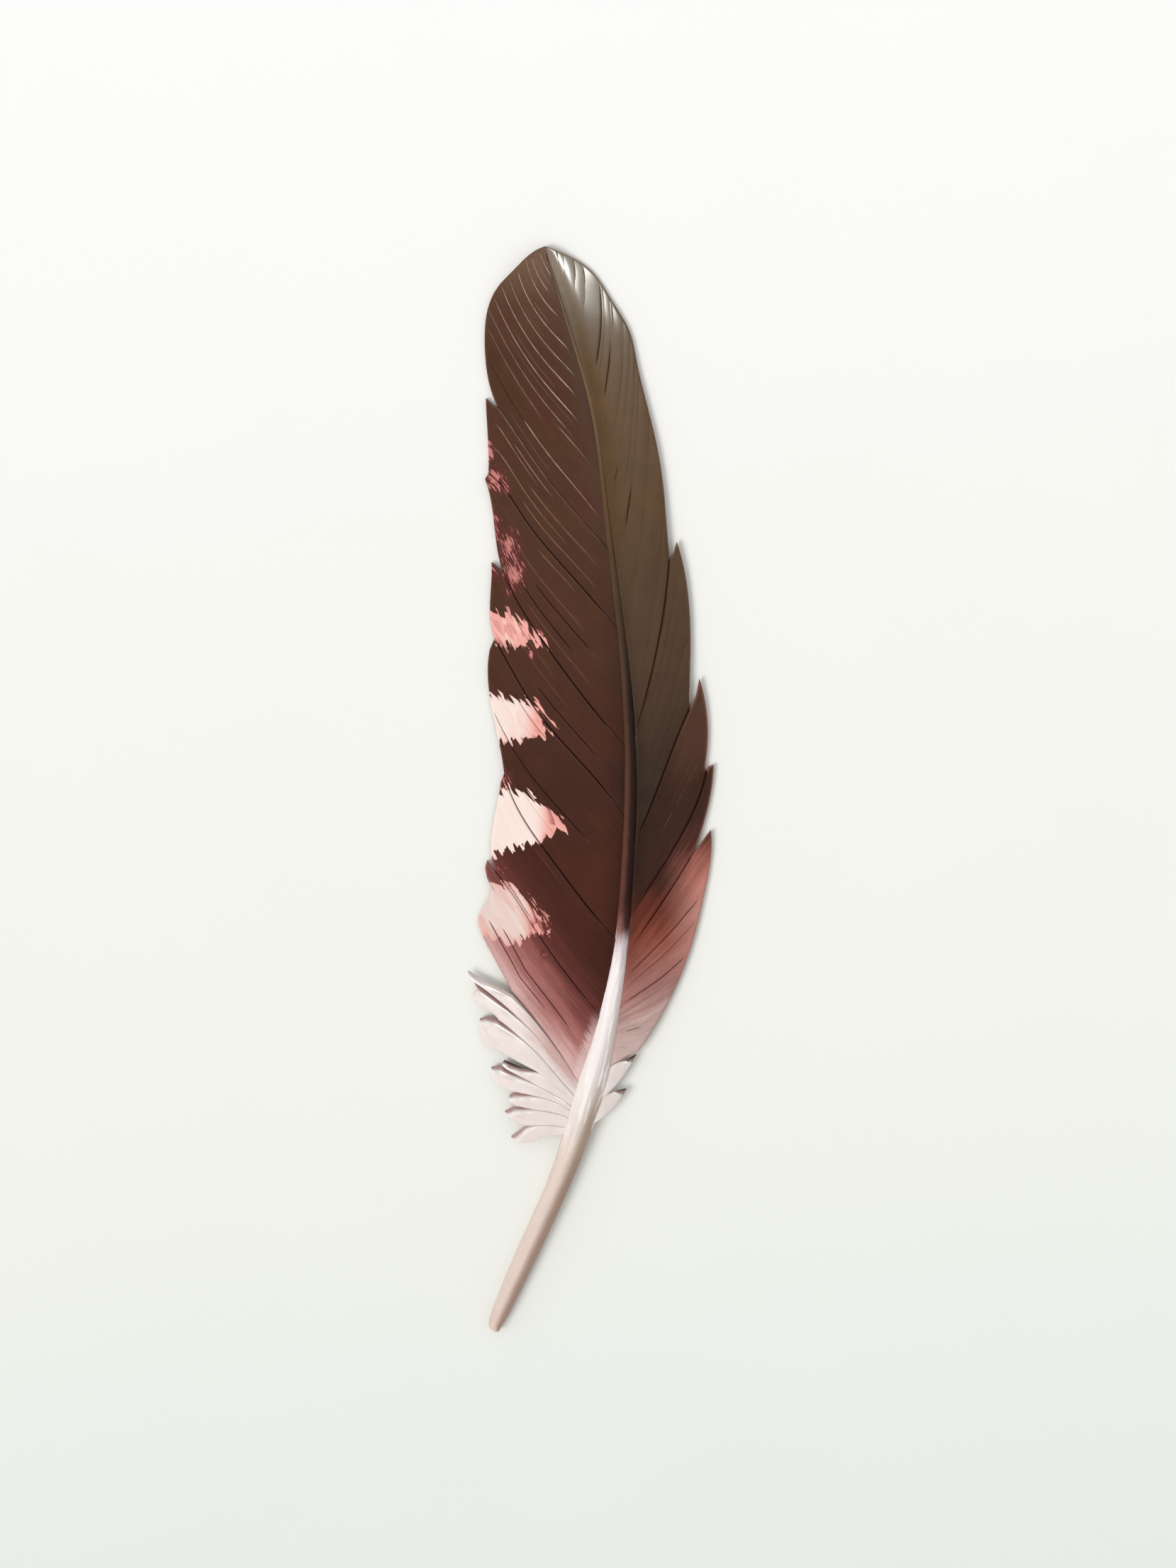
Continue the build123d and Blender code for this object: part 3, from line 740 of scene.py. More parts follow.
class Paint:
    """A material's node graph.  Inputs may be numbers, 8-bit sRGB colours or Values."""

    def __init__(self, name):
        self.material = bpy.data.materials.new(name)
        self.material.use_nodes = True
        self.nodes = self.material.node_tree.nodes
        self.nodes.clear()
        scaled = self.nodes.new("ShaderNodeVectorMath")
        scaled.operation = "SCALE"
        scaled.inputs["Scale"].default_value = 1 / MM
        texture = self.nodes.new("ShaderNodeTexCoord")
        self.feed(Value(self, texture.outputs["Object"]), scaled.inputs[0])
        self.place = Value(self, scaled.outputs[0])
        parts = self.node("ShaderNodeSeparateXYZ", self.place)
        self.x, self.y, self.z = [Value(self, socket) for socket in parts.outputs]

    def feed(self, value, socket):
        if isinstance(value, Value):
            self.material.node_tree.links.new(value.socket, socket)
        else:
            socket.default_value = tone_of(*value) if isinstance(value, tuple) else value

    def node(self, kind, *values):
        """A new node with these values at its first sockets."""
        node = self.nodes.new(kind)
        for value, socket in zip(values, node.inputs):
            self.feed(value, socket)
        return node

    def math(self, operation, a, b=0.0):
        node = self.node("ShaderNodeMath", a, b)
        node.operation = operation
        return Value(self, node.outputs[0])

    def attribute(self, name):
        node = self.nodes.new("ShaderNodeAttribute")
        node.attribute_name = name
        return Value(self, node.outputs["Fac"])

    def vector(self, x, y, z=0.0):
        return Value(self, self.node("ShaderNodeCombineXYZ", x, y, z).outputs[0])

    def noise(self, vector, scale, detail=3.0, roughness=0.55):
        """Noise about 0, from roughly -1 to 1."""
        node = self.node("ShaderNodeTexNoise", vector)
        node.inputs["Scale"].default_value = scale
        node.inputs["Detail"].default_value = detail
        node.inputs["Roughness"].default_value = roughness
        return (Value(self, node.outputs["Fac"]) - 0.5) * NOISE_GAIN

    def streaks(self, stretch, scale, detail=3.0, roughness=0.6):
        """Noise across the barbs, drawn out along them."""
        place = self.vector(self.attribute("row"), self.attribute("along") * stretch)
        return self.noise(place, scale, detail, roughness)

    def between(self, value, low, high, to_low=0.0, to_high=1.0):
        """A smooth step from to_low at low to to_high at high."""
        node = self.node("ShaderNodeMapRange", value, low, high, to_low, to_high)
        node.interpolation_type = "SMOOTHSTEP"
        return Value(self, node.outputs[0])

    def cells(self, vector, scale):
        """A different value from 0 to 1 in every one of many small cells."""
        node = self.node("ShaderNodeTexVoronoi", vector)
        node.inputs["Scale"].default_value = scale
        parts = self.node("ShaderNodeSeparateColor", Value(self, node.outputs["Color"]))
        return Value(self, parts.outputs[0])

    def mix(self, factor, a, b, blend="MIX"):
        """Colour a, with b blended in.  Inputs 6 and 7 and output 2 are the node's colours."""
        node = self.nodes.new("ShaderNodeMix")
        node.data_type = "RGBA"
        node.blend_type = blend
        for value, key in ((factor, 0), (a, 6), (b, 7)):
            self.feed(value, node.inputs[key])
        return Value(self, node.outputs[2])

    def ramp(self, value, stops):
        """Colours at rising values, blended between."""
        low, high = stops[0][0], stops[-1][0]
        scaled = self.node("ShaderNodeMapRange", value, low, high, 0.0, 1.0)
        node = self.node("ShaderNodeValToRGB", Value(self, scaled.outputs[0]))
        elements = node.color_ramp.elements
        elements[0].color = tone_of(*stops[0][1])
        elements[1].color = tone_of(*stops[-1][1])
        for place, colour in stops[1:-1]:
            elements.new((place - low) / (high - low)).color = tone_of(*colour)
        return Value(self, node.outputs[0])

    def ramp_value(self, value, stops):
        """Numbers at rising values, blended between."""
        total = stops[0][1]
        for (low, start), (high, end) in zip(stops, stops[1:]):
            total = self.math("ADD", total, self.between(value, low, high, 0.0, end - start))
        return total

    def brighten(self, colour, amount):
        """The colour times 2 to the power of amount."""
        factor = self.math("POWER", 2.0, amount)
        return self.mix(1.0, colour, self.vector(factor, factor, factor), "MULTIPLY")

    def finish(self, colour, roughness, relief, coat, strength=0.35, distance=0.12):
        """Varnish over the colour, with relief as fine bumps in millimetres."""
        bump = self.nodes.new("ShaderNodeBump")
        bump.inputs["Strength"].default_value = strength
        bump.inputs["Distance"].default_value = distance * MM
        self.feed(relief, bump.inputs["Height"])
        shader = self.nodes.new("ShaderNodeBsdfPrincipled")
        self.feed(colour, shader.inputs["Base Color"])
        self.feed(roughness, shader.inputs["Roughness"])
        self.feed(Value(self, bump.outputs[0]), shader.inputs["Normal"])
        shader.inputs["Specular IOR Level"].default_value = BARE_SHINE
        shader.inputs["Coat Weight"].default_value = coat
        shader.inputs["Coat Roughness"].default_value = COAT_ROUGHNESS
        self.node("ShaderNodeOutputMaterial", Value(self, shader.outputs[0]))
        return self.material


# Colours by y in millimetres, from the calamus towards the tip.
LEFT_BROWN = [(-50, (76, 36, 24)), (-20, (73, 36, 24)), (0, (66, 36, 26)), (30, (76, 45, 32)),
              (60, (78, 50, 34)), (100, (79, 49, 32)), (112, (88, 60, 43)), (125, (120, 92, 74))]
RIGHT_BROWN = [(-20, (46, 27, 17)), (0, (50, 31, 20)), (28, (78, 55, 37)), (45, (80, 58, 36)),
               (65, (89, 64, 36)), (88, (94, 67, 36)), (98, (94, 69, 40)), (108, (106, 88, 68)),
               (125, (150, 138, 122))]
# Colours by the distance down the barbs, from brown through rose to the cream of the down.
ROSE = [(38, (70, 34, 24)), (44, (78, 38, 31)), (50, (96, 48, 43)), (55, (118, 64, 59)),
        (60, (144, 87, 82)), (66, (168, 110, 105)), (71, (194, 146, 142)), (76, (208, 172, 167)),
        (82, (222, 202, 197))]
ORANGE_BROWN = [(5, (54, 32, 22)), (18, (56, 33, 24)), (28, (60, 32, 23)), (32, (96, 46, 34)),
                (38, (120, 60, 45)), (41, (140, 76, 62)), (46, (154, 95, 84)), (53, (164, 117, 110)),
                (59, (188, 158, 152)), (63, (200, 174, 168))]
OUTER_ROSE = [(-12, (84, 55, 41)), (3, (80, 50, 38)), (10, (62, 37, 27)), (18, (62, 36, 28)),
              (23, (84, 46, 36)), (26, (150, 88, 76)), (32, (192, 124, 112)), (40, (206, 150, 141)),
              (47, (196, 144, 136)), (55, (182, 142, 134)), (62, (198, 164, 158))]
# Colours of the scored tan lines and of the shaft's lit and shaded sides, by y.
# Tan lines: pale wood with a painted highlight, near white towards the tip.
TAN_HIGHLIGHT = [(40, (156, 104, 78)), (62, (184, 136, 108)), (85, (236, 212, 196))]
# SHAFT_LIT is painted light on the shaft's left flank, SHAFT_SHADED painted shade with some stain on its
# right.
SHAFT_LIT = [(-125, (214, 192, 180)), (-118, (222, 202, 192)), (-84, (226, 208, 198)),
             (-70, (242, 234, 229)), (-48, (250, 243, 241)), (-40, (246, 236, 236)),
             (-36, (226, 212, 216)), (-32.5, (150, 104, 96)), (-28, (104, 62, 52)),
             (15, (82, 56, 44)), (40, (84, 60, 44)), (60, (124, 94, 72)), (122, (168, 136, 114))]
SHAFT_SHADED = [(-125, (172, 142, 130)), (-90, (168, 142, 126)), (-76, (178, 156, 140)),
                (-66, (214, 200, 194)), (-42, (230, 218, 216)), (-36, (202, 186, 190)),
                (-32, (70, 38, 32)), (-24, (42, 23, 18)), (20, (40, 25, 20)),
                (45, (76, 56, 38)), (70, (97, 73, 46)), (122, (126, 104, 84))]
# Cuts darkened towards these colours are painted shade, on the vanes and on the down.
GROOVE_SHADE, GROOVE_SHADE_DOWN = (30, 15, 12), (128, 92, 90)
STAIN, DAB = (98, 44, 44), (212, 134, 128)
BAR_CREAM, BAR_PINK, BAR_PLUM = (247, 228, 219), (240, 170, 160), (142, 66, 66)
ROOT_PALE = (228, 200, 196)
# The down's strokes are white paint; its crest colour is a painted highlight, its deep colour painted
# shade.
DOWN_STROKE, DOWN_CREST_HIGHLIGHT, DOWN_DEEP_SHADE = (240, 232, 230), (255, 254, 252), (58, 34, 38)
SHAFT_STROKE, SHAFT_COOL, SHAFT_SPECK = (254, 251, 250), (186, 180, 190), (168, 128, 104)


def vane_paint(name, base_of, edge_colour, gloss, coat):
    """Vane paint with streaks, worn edges, cuts, scored lines and the painted bars."""
    paint = Paint(name)
    coarse = paint.streaks(0.05, 0.55, roughness=0.55)
    fine = paint.streaks(0.04, 2.6)
    hair = paint.streaks(0.03, 7.0, detail=2.0)
    mottle = paint.noise(paint.place, 0.16, 4.0, 0.6)
    specks = paint.noise(paint.place, 1.6, 2.0)
    shade = coarse * 0.16 + fine * 0.16 + hair * 0.08 + mottle * 0.20 + specks * 0.09
    low = paint.ramp_value(paint.y, [(-48, 0.0), (-38, 0.5), (15, 0.5), (60, 0.1)])
    near = paint.between(paint.attribute("along"), 0.0, 9.0, -1.0, 0.0) * low
    colour = paint.brighten(base_of(paint, coarse, fine), shade + near)
    colour = paint.mix(paint.attribute("rim") * 0.6, colour, edge_colour)
    colour = dab_paint(paint, colour, hair)
    tone = paint.attribute("tone")
    dark = paint.between(tone, -0.15, -0.9, 0.0, 0.85)
    colour = bar_paint(paint, colour, fine, hair, dark)
    # Dark lines: the cut darkened towards deep brown as painted shade.
    groove = paint.mix(0.55, GROOVE_SHADE, paint.brighten(colour, -1.2))
    colour = paint.mix(dark, colour, groove)
    # Tan lines: a painted highlight over pale wood showing through, varying along each line.
    worn = paint.streaks(0.35, 0.9, roughness=0.55)
    tan = paint.between(tone, 0.05, 0.95, 0.0, 0.95) * paint.between(worn, -0.7, 0.35, 0.4, 1.0)
    colour = paint.mix(tan, colour, paint.ramp(paint.y, TAN_HIGHLIGHT))
    return paint.finish(colour, mottle * 0.05 + gloss, hair * 0.6 + fine, coat, 0.12, 0.05)


def plain_brown(stops, flush):
    """Brown that changes along the quill, with broad patches of a warmer one."""
    def base(paint, coarse, fine):
        patches = coarse * 0.3 + paint.noise(paint.place, 0.075, 3.0, 0.6)
        warm = paint.between(patches, -0.1, 0.9, 0.0, 0.5)
        return paint.mix(warm, paint.ramp(paint.y, stops), flush)
    return base


def left_rose(paint, coarse, fine):
    """From brown to rose, down the barbs and towards the outer edge, with a pale root."""
    run = paint.x * -1.57 - paint.y + coarse * 3.4 + fine * 2.2
    run = run + paint.between(paint.y, -50.0, -64.0, 0.0, 5.0)
    reach = fine * 2.5 + paint.attribute("along")
    pale = paint.between(reach, 3.5, 1.0) * paint.between(paint.y, -50.0, -58.0)
    return paint.mix(pale * 0.7, paint.ramp(run, ROSE), ROOT_PALE)


def right_rose(paint, coarse, fine):
    """Orange-brown beside the shaft, rose at the outer edge, paler towards the down."""
    run = paint.x * 0.45 - paint.y + coarse * 3.2 + fine * 2.4
    inner, outer = paint.ramp(run, ORANGE_BROWN), paint.ramp(run, OUTER_ROSE)
    return paint.mix(paint.between(paint.attribute("along"), 12.0, 30.0), inner, outer)


def dab_paint(paint, colour, hair):
    """Broken rose dabs over a plum-brown stain."""
    thick = paint.attribute("dab")
    colour = paint.mix(paint.between(thick, 0.05, 0.7, 0.0, 0.65), colour, STAIN)
    cover = paint.streaks(0.2, 1.7) * 1.25 + thick * 0.85 + hair * 0.2
    cover = paint.between(cover, 0.7, 0.95, 0.0, 0.85) * paint.between(thick, 0.1, 0.4)
    return paint.mix(cover, colour, DAB)


def bar_paint(paint, colour, fine, hair, dark):
    """Cream and pink bars in small shards of paint laid along the barbs."""
    row, along = paint.attribute("row"), paint.attribute("along")
    warped = fine * 0.12 + row
    shards = paint.cells(paint.vector(warped, along * 0.25), 0.62)
    small = paint.cells(paint.vector(warped, along * 0.3), 1.3)
    teeth = paint.math("FRACT", shards * 0.4 + row * 0.4)
    depth = (shards - 0.5) * 1.7 + paint.attribute("bar") + (teeth - 0.5) * 1.9 + (small - 0.5) * 0.35
    broken = paint.between(paint.attribute("pink"), 0.6, 1.5, 0.0, 2.0)
    depth = depth - paint.between(small, 0.6, 0.7) * broken
    cover = paint.between(depth, -0.05, 0.15) * (dark * -0.9 + 1.0)
    pink = (shards - 0.5) * 0.5 + paint.attribute("pink") + paint.between(depth, 0.2, 1.6, 0.25, 0.0)
    tint = paint.mix(paint.between(pink, 0.1, 1.1), BAR_CREAM, BAR_PINK)
    plum = paint.between(pink, 0.8, 1.4) * paint.between(small, 0.5, 0.65)
    tint = paint.mix(plum * 0.75, tint, BAR_PLUM)
    dull = paint.between(paint.y, -14.0, -22.0, 0.0, -0.2)
    return paint.mix(cover, colour, paint.brighten(tint, hair * 0.05 + dull))


def down_paint(name, base, hollow, blush):
    """Cream down: a painted highlight on each crest, painted rose shade in the hollows between the tufts.

    blush is the colour that the vane's paint leaves on the first tuft beside it.
    """
    paint = Paint(name)
    fine = paint.streaks(0.06, 2.2)
    mottle = paint.noise(paint.place, 0.35, 3.0, 0.6)
    colour = paint.brighten(base, fine * 0.09 + mottle * 0.1)
    beside = paint.x * -0.72 + paint.y * -0.69 + fine * 1.3
    tint = paint.between(beside, 51.0, 48.2) * paint.between(paint.x, -19.0, -8.0, 0.0, 0.75)
    colour = paint.mix(tint, colour, blush)
    root = paint.between(paint.attribute("along"), 6.0, 0.5)
    strokes = paint.between(fine * 0.7 + root, 0.6, 1.3, 0.0, 0.6)
    colour = paint.mix(strokes, colour, DOWN_STROKE)
    # Dark lines between the tufts: painted shade in the cuts.
    dark = paint.between(paint.attribute("tone"), -0.15, -0.9, 0.0, 0.7)
    colour = paint.mix(dark, colour, GROOVE_SHADE_DOWN)
    # Painted shade on the flank below each crest, rose deepening to plum.
    wall = paint.attribute("wall")
    deep = paint.mix(paint.between(wall, 0.9, 1.7), hollow, DOWN_DEEP_SHADE)
    colour = paint.mix(paint.between(mottle * 0.1 + wall, 0.12, 0.55) * 0.95, colour, deep)
    # A painted highlight along each crest.
    colour = paint.mix(paint.attribute("crest") * 0.9, colour, DOWN_CREST_HIGHLIGHT)
    return paint.finish(colour, mottle * 0.05 + 0.42, fine, 0.2)


def shaft_paint():
    """Bare bone-coloured wood at the calamus, brown between the vanes, tan towards the tip."""
    paint = Paint("shaft_wood")
    turn = paint.attribute("turn")
    grain = paint.noise(paint.vector(turn * 4.5, paint.y * 0.06, paint.z), 1.0, 4.0, 0.6)
    mottle = paint.noise(paint.place, 0.22, 4.0, 0.6)
    specks = paint.between(paint.noise(paint.place, 1.7, 2.0), 0.95, 1.2)
    edge = grain * 2.2 + paint.y + mottle * 1.5
    low_side = paint.ramp_value(paint.y, [(-40, -0.25), (-28, -0.45), (30, -0.45), (60, -0.75)])
    high_side = paint.ramp_value(paint.y, [(-40, 0.65), (-28, 0.2), (30, 0.2), (60, -0.2)])
    # Right flank: shaded colours, painted shade with some stain; left flank: lit colours, painted light.
    side = paint.between(mottle * 0.12 + turn, low_side, high_side)
    colour = paint.mix(side, paint.ramp(edge, SHAFT_LIT), paint.ramp(edge, SHAFT_SHADED))
    colour = paint.brighten(colour, grain * 0.10 + mottle * 0.05)
    strokes = paint.noise(paint.vector(turn * 2.6, paint.y * 0.08), 1.0, 3.0, 0.6)
    painted = paint.ramp_value(edge, [(-86, 0.0), (-70, 0.75), (-38, 0.75), (-33, 0.0)])
    colour = paint.mix(paint.between(strokes, 0.0, 0.35) * painted, colour, SHAFT_STROKE)
    cool = paint.ramp_value(edge, [(-60, 0.0), (-46, 0.3), (-38, 0.6), (-34, 0.0)])
    colour = paint.mix(paint.between(strokes, -0.1, -0.45) * cool, colour, SHAFT_COOL)
    colour = paint.mix(specks * 0.25, colour, SHAFT_SPECK)
    return paint.finish(colour, mottle * 0.05 + 0.36, grain, 0.08, 0.25, 0.06)


# ---------------------------------------------------------------- what each leaf is like
# Scored lines: depth (0 to 1), tone (1 tan highlight on wood, -1 dark shade, both painted), then places on
# the line.
SCORES = {
    "left_vane_1": [
        (0.5, 0.7, (-12.3, 122.6), (-10.6, 120.6), (-9.0, 119.0)),
        (0.6, 0.8, (-13.9, 121.5), (-12.5, 119.3), (-9.5, 115.6)),
        (0.7, 0.8, (-15.5, 121), (-12.5, 115.3), (-8.1, 111)),
        (0.9, 1.0, (-17.4, 118.3), (-13.5, 111.6), (-10, 107), (-5, 100)),
        (0.7, 0.7, (-19, 117.7), (-15.5, 109.5), (-10, 102), (-3.2, 94.1)),
        (0.9, 1.0, (-20.7, 115.2), (-16, 106.5), (-11, 99), (-3.3, 89.5)),
        (0.9, 0.9, (-22, 113), (-17.3, 103), (-12, 95.5), (-2.8, 83)),
        (0.7, 0.6, (-23.4, 111.5), (-20.5, 104), (-15, 95), (-4, 80.5)),
        (0.7, 0.6, (-23.9, 108.5), (-20, 98.5), (-14, 88), (-11, 84)),
        (0.6, -0.5, (-24, 98.5), (-19, 90.5), (-13, 81.5)),
        (0.9, 1.0, (-15.5, 85), (-10, 76.5), (-3, 67.8), (1.9, 62.8)),
        (0.6, 0.6, (-7.5, 84), (0, 73.5)),
    ],
    "left_vane_2": [
        (0.8, 0.8, (-21.7, 84.5), (-17, 77), (-12, 68)),
        (0.5, 0.8, (-22.8, 80), (-15, 67), (-5, 56)),
        (0.5, 0.8, (-14, 70), (-8.2, 62), (1.5, 50.5)),
        (0.6, -0.3, (-17, 86), (-8, 72), (1, 58)),
    ],
    "left_vane_3": [
        (0.9, -0.9, (-17, 49), (-8.5, 37.5), (-3, 30)),
        (0.9, -0.9, (-13, 47.2), (-6, 39), (1, 30.6)),
        (0.7, 0.7, (-20.5, 66), (-17, 58)),
        (0.5, 0.9, (-12, 56), (-3, 44)),
        (0.5, 0.8, (-18, 57.5), (-11, 48.2), (-1, 36.5)),
    ],
    "left_vane_4": [
        (0.9, -0.8, (-7, 35), (-1, 27), (1.2, 24.5)),
        (0.9, -0.8, (-12.5, 25), (-5, 15), (2.5, 5)),
        (0.5, 0.8, (-18, 40), (-8, 26)),
    ],
    "left_vane_5": [
        (0.9, -0.9, (-22.8, 19.5), (-18, 11), (-12, 1), (-5, -8), (0, -14.8)),
        (0.7, -0.5, (-18, 24), (-8, 8)),
    ],
    "left_vane_6": [
        (0.7, -0.8, (-21.9, -11), (-20.2, -15)),
        (0.8, -0.7, (-14, 2), (-3.7, -10), (0, -15)),
        (0.8, -0.7, (-20.5, -18), (-15.5, -28), (-13, -32)),
    ],
    "left_vane_7": [
        (1.0, -0.9, (-23.7, -30), (-18, -40), (-14, -46), (-10, -51.5)),
        (1.0, -0.9, (-20.6, -32.4), (-15, -39.5), (-10, -48.5), (-4.2, -56.2)),
    ],
    "right_vane_1": [
        (0.5, -0.7, (-8, 124.5), (-7.5, 122)),
        (0.5, -0.7, (-4, 122), (-3.6, 118)),
        (0.5, -0.7, (-1.7, 120.5), (-1.4, 116)),
        (0.8, -0.9, (2.5, 115), (2.5, 108), (1.2, 98)),
        (0.5, -0.6, (5, 112), (5, 108)),
        (0.7, -0.8, (4.5, 101), (4, 96), (2.7, 91.5)),
        (0.5, -0.6, (6.3, 75), (5.3, 68)),
        (0.9, -0.8, (9.3, 69), (7.8, 60)),
    ],
    "right_vane_2": [
        (0.6, 0.7, (17.5, 46), (16, 33)),
        (0.6, 0.6, (14, 25), (12.5, 18)),
    ],
    "right_vane_3": [
        (0.8, 1.0, (24.4, 7.9), (20.3, -2.9), (15.2, -12.6)),
    ],
    "right_vane_4": [
        (0.8, 1.0, (22.7, -4.2), (19, -12.6), (13.5, -20.7)),
        (0.7, 0.9, (17.5, -12.5), (12, -22.5)),
    ],
    "right_vane_5": [
        (1.0, -0.8, (26, -19), (20, -29.5), (14, -37.5), (8, -47)),
        (0.8, 0.6, (25.5, -24), (20, -34.5), (14, -41.5), (8, -47.8)),
        (1.0, -0.8, (24, -31), (18, -40), (12, -48), (7, -53)),
        (0.8, -0.6, (14, -50), (6.7, -59)),
    ],
}
# How far a leaf's barbs crowd towards its upper end at the shaft.
LEAD = {"left_vane_1": 2.1, "right_vane_1": 1.8}
# How far a leaf's barbs sag, as a fraction of its width.
BOW = {"left_vane_1": 0.045, "left_vane_2": 0.05, "left_vane_3": 0.04, "left_vane_4": 0.03}
# How dark the painted shade on a tuft's flank is, where it is not 1.
HOLLOW_SHADE = {"left_down_1": 0.3, "left_down_2": 1.4, "left_down_4": 2.2, "right_down_1": 2.0,
          "right_down_2": 1.8}
# Fainter scored lines: spacing in millimetres, depth and the tones to choose from.
FINE_TAN = (2.0, 0.13, 0.8, 0.6, -0.35)
FINE_DARK = (2.2, 0.11, -0.6, 0.45, -0.4)
FINE_FAINT = (2.2, 0.12, -0.3, 0.2)
NO_LINES = (0, 0, 0)
FINE = {"left_vane_1": (2.4, 0.15, 0.4, 0.3), "right_vane_1": (4.5, 0.1, -0.25),
        "left_vane_2": FINE_TAN, "left_vane_3": FINE_TAN,
        "left_vane_4": FINE_DARK, "left_vane_5": FINE_DARK, "left_vane_6": FINE_DARK}
# How a leaf's upper and lower cuts are tinted: 1 tan, painted highlight; -1 dark, painted shade.
PARTING_TONES = {"left_vane_1": (0, 0.2), "left_vane_2": (0.8, -0.7), "left_vane_6": (-0.8, -0.4),
                 "left_vane_7": (-0.4, -0.1), "left_down_1": (-0.1, -1), "right_vane_1": (0, -0.8)}
DARK_CUTS = (-0.9, -0.9)
# Where along the barbs the cut beside a leaf opens, as fractions of their length.
VANE_PARTED, TUFT_PARTED = (0.02, 0.2), (0.4, 0.75)
SHOULDERED = ("left_vane_1", "right_vane_1")
ROSE_SLOT = ("left_vane_7", "right_vane_5")
ROSE_LEAVES = ("left_vane_6", "left_vane_7", "right_vane_3", "right_vane_4", "right_vane_5")


def look_of(name):
    """How a leaf is carved, and the name of its finish's slot."""
    tuft = "down" in name
    vane_slot = "painted_rose" if name in ROSE_SLOT else "painted_brown"
    return {"tuft": tuft,
            "shoulder": name in SHOULDERED,
            "scores": SCORES.get(name, []),
            "fine": NO_LINES if tuft else FINE.get(name, FINE_FAINT),
            "lead": LEAD.get(name, 1.0),
            "bow": BOW.get(name, 0.02),
            "parted": TUFT_PARTED if tuft else VANE_PARTED,
            "parting_tones": PARTING_TONES.get(name, DARK_CUTS),
            "hollow": HOLLOW_SHADE.get(name, 1.0),
            "slot": "painted_cream" if tuft else vane_slot}


LEFT_BASE = plain_brown(LEFT_BROWN, flush=(82, 38, 28))
RIGHT_BASE = plain_brown(RIGHT_BROWN, flush=(80, 56, 36))
RIGHT_CREAM = (226, 214, 208)
MATERIALS = {
    "left_brown": vane_paint("left_brown", LEFT_BASE, (112, 76, 62), 0.5, 0.0),
    "right_brown": vane_paint("right_brown", RIGHT_BASE, (130, 100, 82), 0.4, 0.26),
    "left_rose": vane_paint("left_rose", left_rose, (170, 120, 114), 0.5, 0.0),
    "right_rose": vane_paint("right_rose", right_rose, (180, 122, 110), 0.45, 0.06),
    "left_down": down_paint("left_down_paint", (230, 217, 212), (180, 148, 143), (196, 148, 142)),
    "right_down": down_paint("right_down_paint", RIGHT_CREAM, (150, 120, 112), RIGHT_CREAM),
}


def material_for(name):
    side = name.split("_")[0]
    kind = "down" if "down" in name else "rose" if name in ROSE_LEAVES else "brown"
    return MATERIALS[f"{side}_{kind}"]


# ---------------------------------------------------------------- the object
RIGHT_OFFSET = 300.0  # keeps the right side's streaks unlike the left's
LEAF_OFFSET = 1.0  # and each leaf's unlike its neighbour's


def build_side(names, cad, first_above, mirrored):
    """Every leaf of one side, from the tip downwards."""
    shell = fit_surfaces([cad[name] for name in names if "vane" in name], VANE_DEGREE)
    offset = RIGHT_OFFSET if mirrored else 0.0
    for k, name in enumerate(names):
        above = cad[names[k - 1]] if k else first_above
        below = cad[names[k + 1]] if k + 1 < len(names) else None
        look = look_of(name)
        outline = Outline(cad[name], above, below, cad["shaft"], mirrored, look["tuft"])
        heights = fit_surfaces([cad[name]], TUFT_DEGREE) if look["tuft"] else shell
        leaf = Leaf(name, outline, *heights, look)
        leaf.build(material_for(name), offset)
        offset += leaf.total + LEAF_OFFSET


CAD = {name: CadPiece(name) for name in ["shaft"] + LEFT + RIGHT}
build_side(LEFT, CAD, CAD["right_vane_1"], False)
build_side(RIGHT, CAD, CAD["left_vane_1"], True)
build_shaft(CAD["shaft"], shaft_paint())


# ---------------------------------------------------------------- floor, light and camera
FLOOR_HALF = 1600  # half the floor's width
# Floor colours by place: the darkening towards the bottom of the picture is painted shade.
FLOOR_COLOURS = [(-200, (232, 236, 232)), (-60, (243, 245, 239)), (60, (249, 249, 245)),
                 (200, (254, 254, 254))]
SURROUND = 0.62  # strength of the white surround
SUN_SPREAD = 28  # degrees across the sun, for soft shadows
SUN_POWER, SUN_COLOUR, SUN_DIRECTION = 1.5, (1.0, 0.985, 0.965), (0.54, 0.31, -0.78)
WINDOW_PLACE, WINDOW_AIM = (250, 600, 660), (0, 100, 0)
WINDOW_SIZE, WINDOW_POWER, WINDOW_COLOUR = 280, 26.0, (0.98, 1.0, 0.95)
SENSOR = 36.0  # width of the camera's sensor
CAMERA_PLACE = (-0.65, 1.14, 900.0)
VIEW_WIDTH = 270.4  # how wide the picture is, as seen at VIEW_HEIGHT above the floor
VIEW_HEIGHT = 3.0
NEAREST = 0.01  # how near the camera sees, in metres


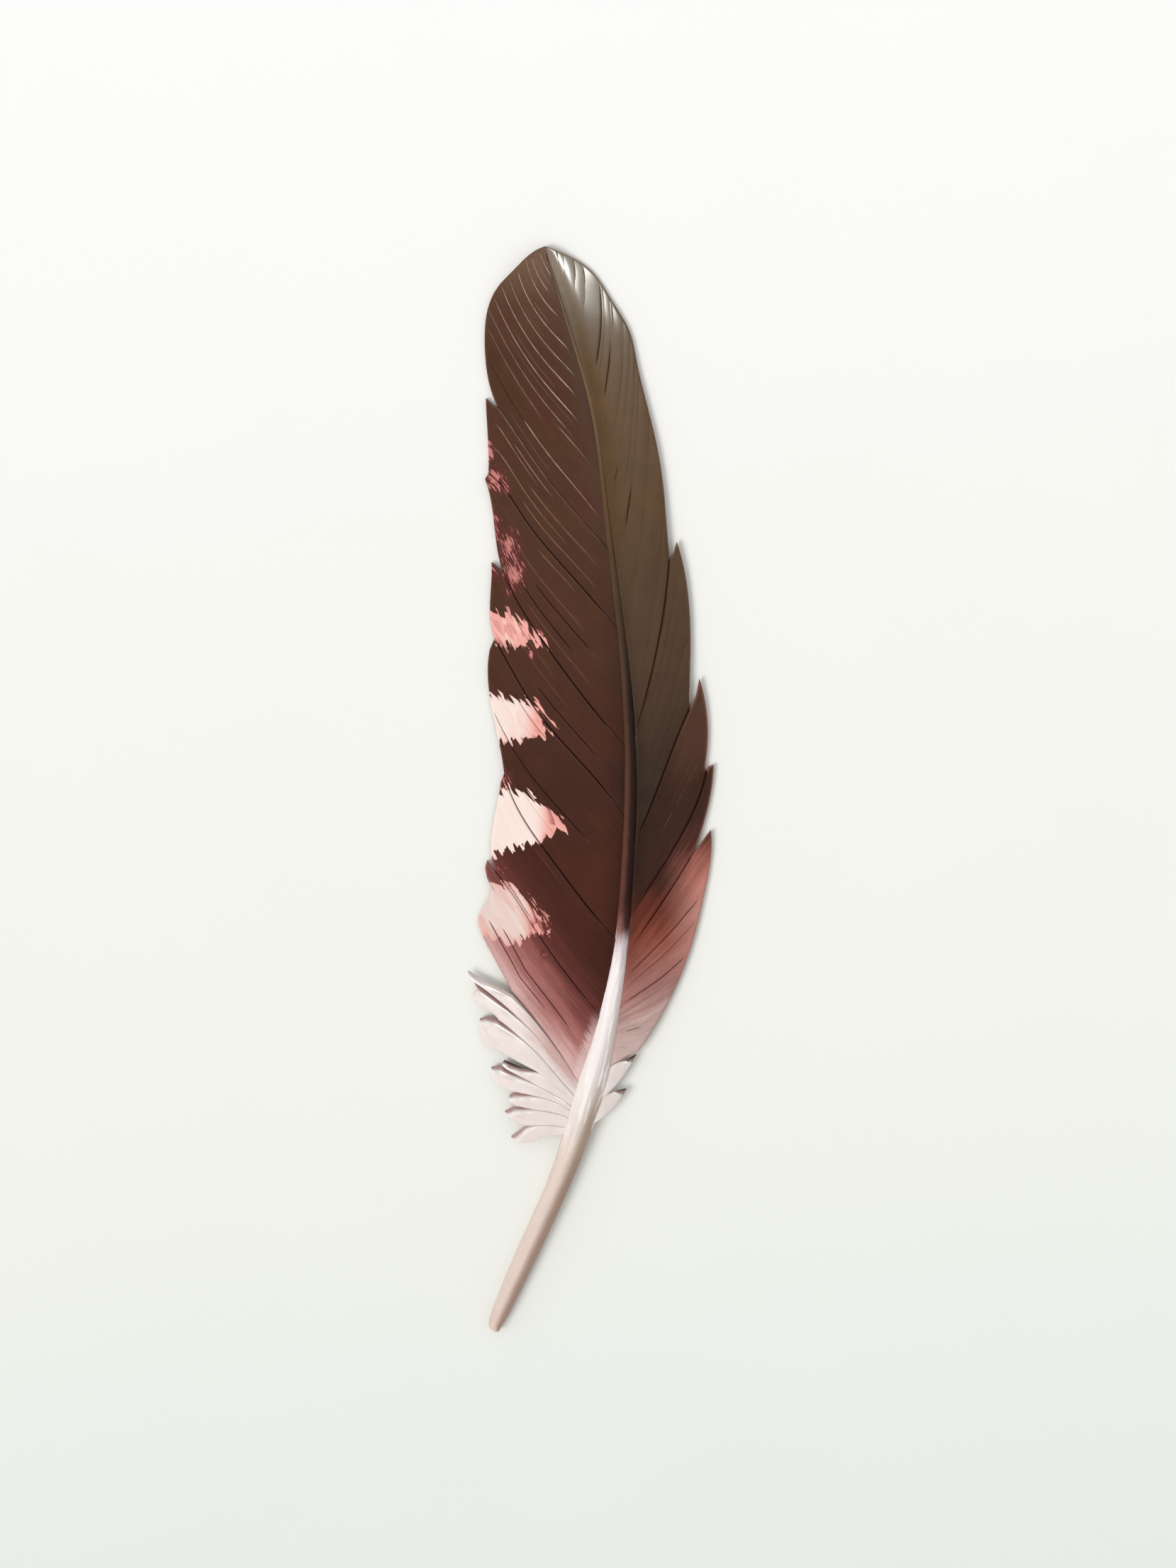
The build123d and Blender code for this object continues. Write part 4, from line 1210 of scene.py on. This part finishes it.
def build_floor():
    """Pale card, painted a little darker towards the bottom of the picture as painted shade."""
    paint = Paint("floor_card")
    dust = paint.noise(paint.place, 0.02, 3.0)
    colour = paint.ramp(paint.x * -0.12 + paint.y, FLOOR_COLOURS)
    colour = paint.brighten(colour, dust * 0.01)
    card = paint.finish(colour, 0.9, dust, 0.0, 0.05, 0.01)
    corners = [(x * FLOOR_HALF, y * FLOOR_HALF, 0) for x, y in ((-1, -1), (1, -1), (1, 1), (-1, 1))]
    mesh = bpy.data.meshes.new("floor")
    mesh.from_pydata([Vector(corner) * MM for corner in corners], [], [(0, 1, 2, 3)])
    mesh.materials.append(card)
    floor = add_object("floor", mesh)


def aim(lamp, direction):
    lamp.rotation_euler = Vector(direction).to_track_quat("-Z", "Y").to_euler()


def build_light():
    """A white surround, a soft sun from the lower left, and a window that only shines back."""
    world = bpy.data.worlds.new("studio")
    world.use_nodes = True
    background = world.node_tree.nodes["Background"]
    background.inputs["Color"].default_value = (1.0, 1.0, 1.0, 1.0)
    background.inputs["Strength"].default_value = SURROUND
    bpy.context.scene.world = world
    sun = bpy.data.lights.new("key", "SUN")
    sun.angle = math.radians(SUN_SPREAD)
    sun.energy = SUN_POWER
    sun.color = SUN_COLOUR
    aim(add_object("key", sun), SUN_DIRECTION)
    window = bpy.data.lights.new("window", "AREA")
    window.size = WINDOW_SIZE * MM
    window.energy = WINDOW_POWER
    window.color = WINDOW_COLOUR
    lamp = add_object("window", window)
    lamp.location = Vector(WINDOW_PLACE) * MM
    lamp.visible_diffuse = False
    aim(lamp, Vector(WINDOW_AIM) - Vector(WINDOW_PLACE))


def build_camera():
    """Straight above, framed as the photo is."""
    data = bpy.data.cameras.new("camera")
    data.sensor_fit = "HORIZONTAL"
    data.sensor_width = SENSOR
    data.lens = SENSOR * (CAMERA_PLACE[2] - VIEW_HEIGHT) / VIEW_WIDTH
    data.clip_start = NEAREST
    camera = add_object("camera", data)
    camera.location = Vector(CAMERA_PLACE) * MM
    bpy.context.scene.camera = camera


build_floor()
build_light()
build_camera()
bpy.context.scene.view_settings.view_transform = "Standard"
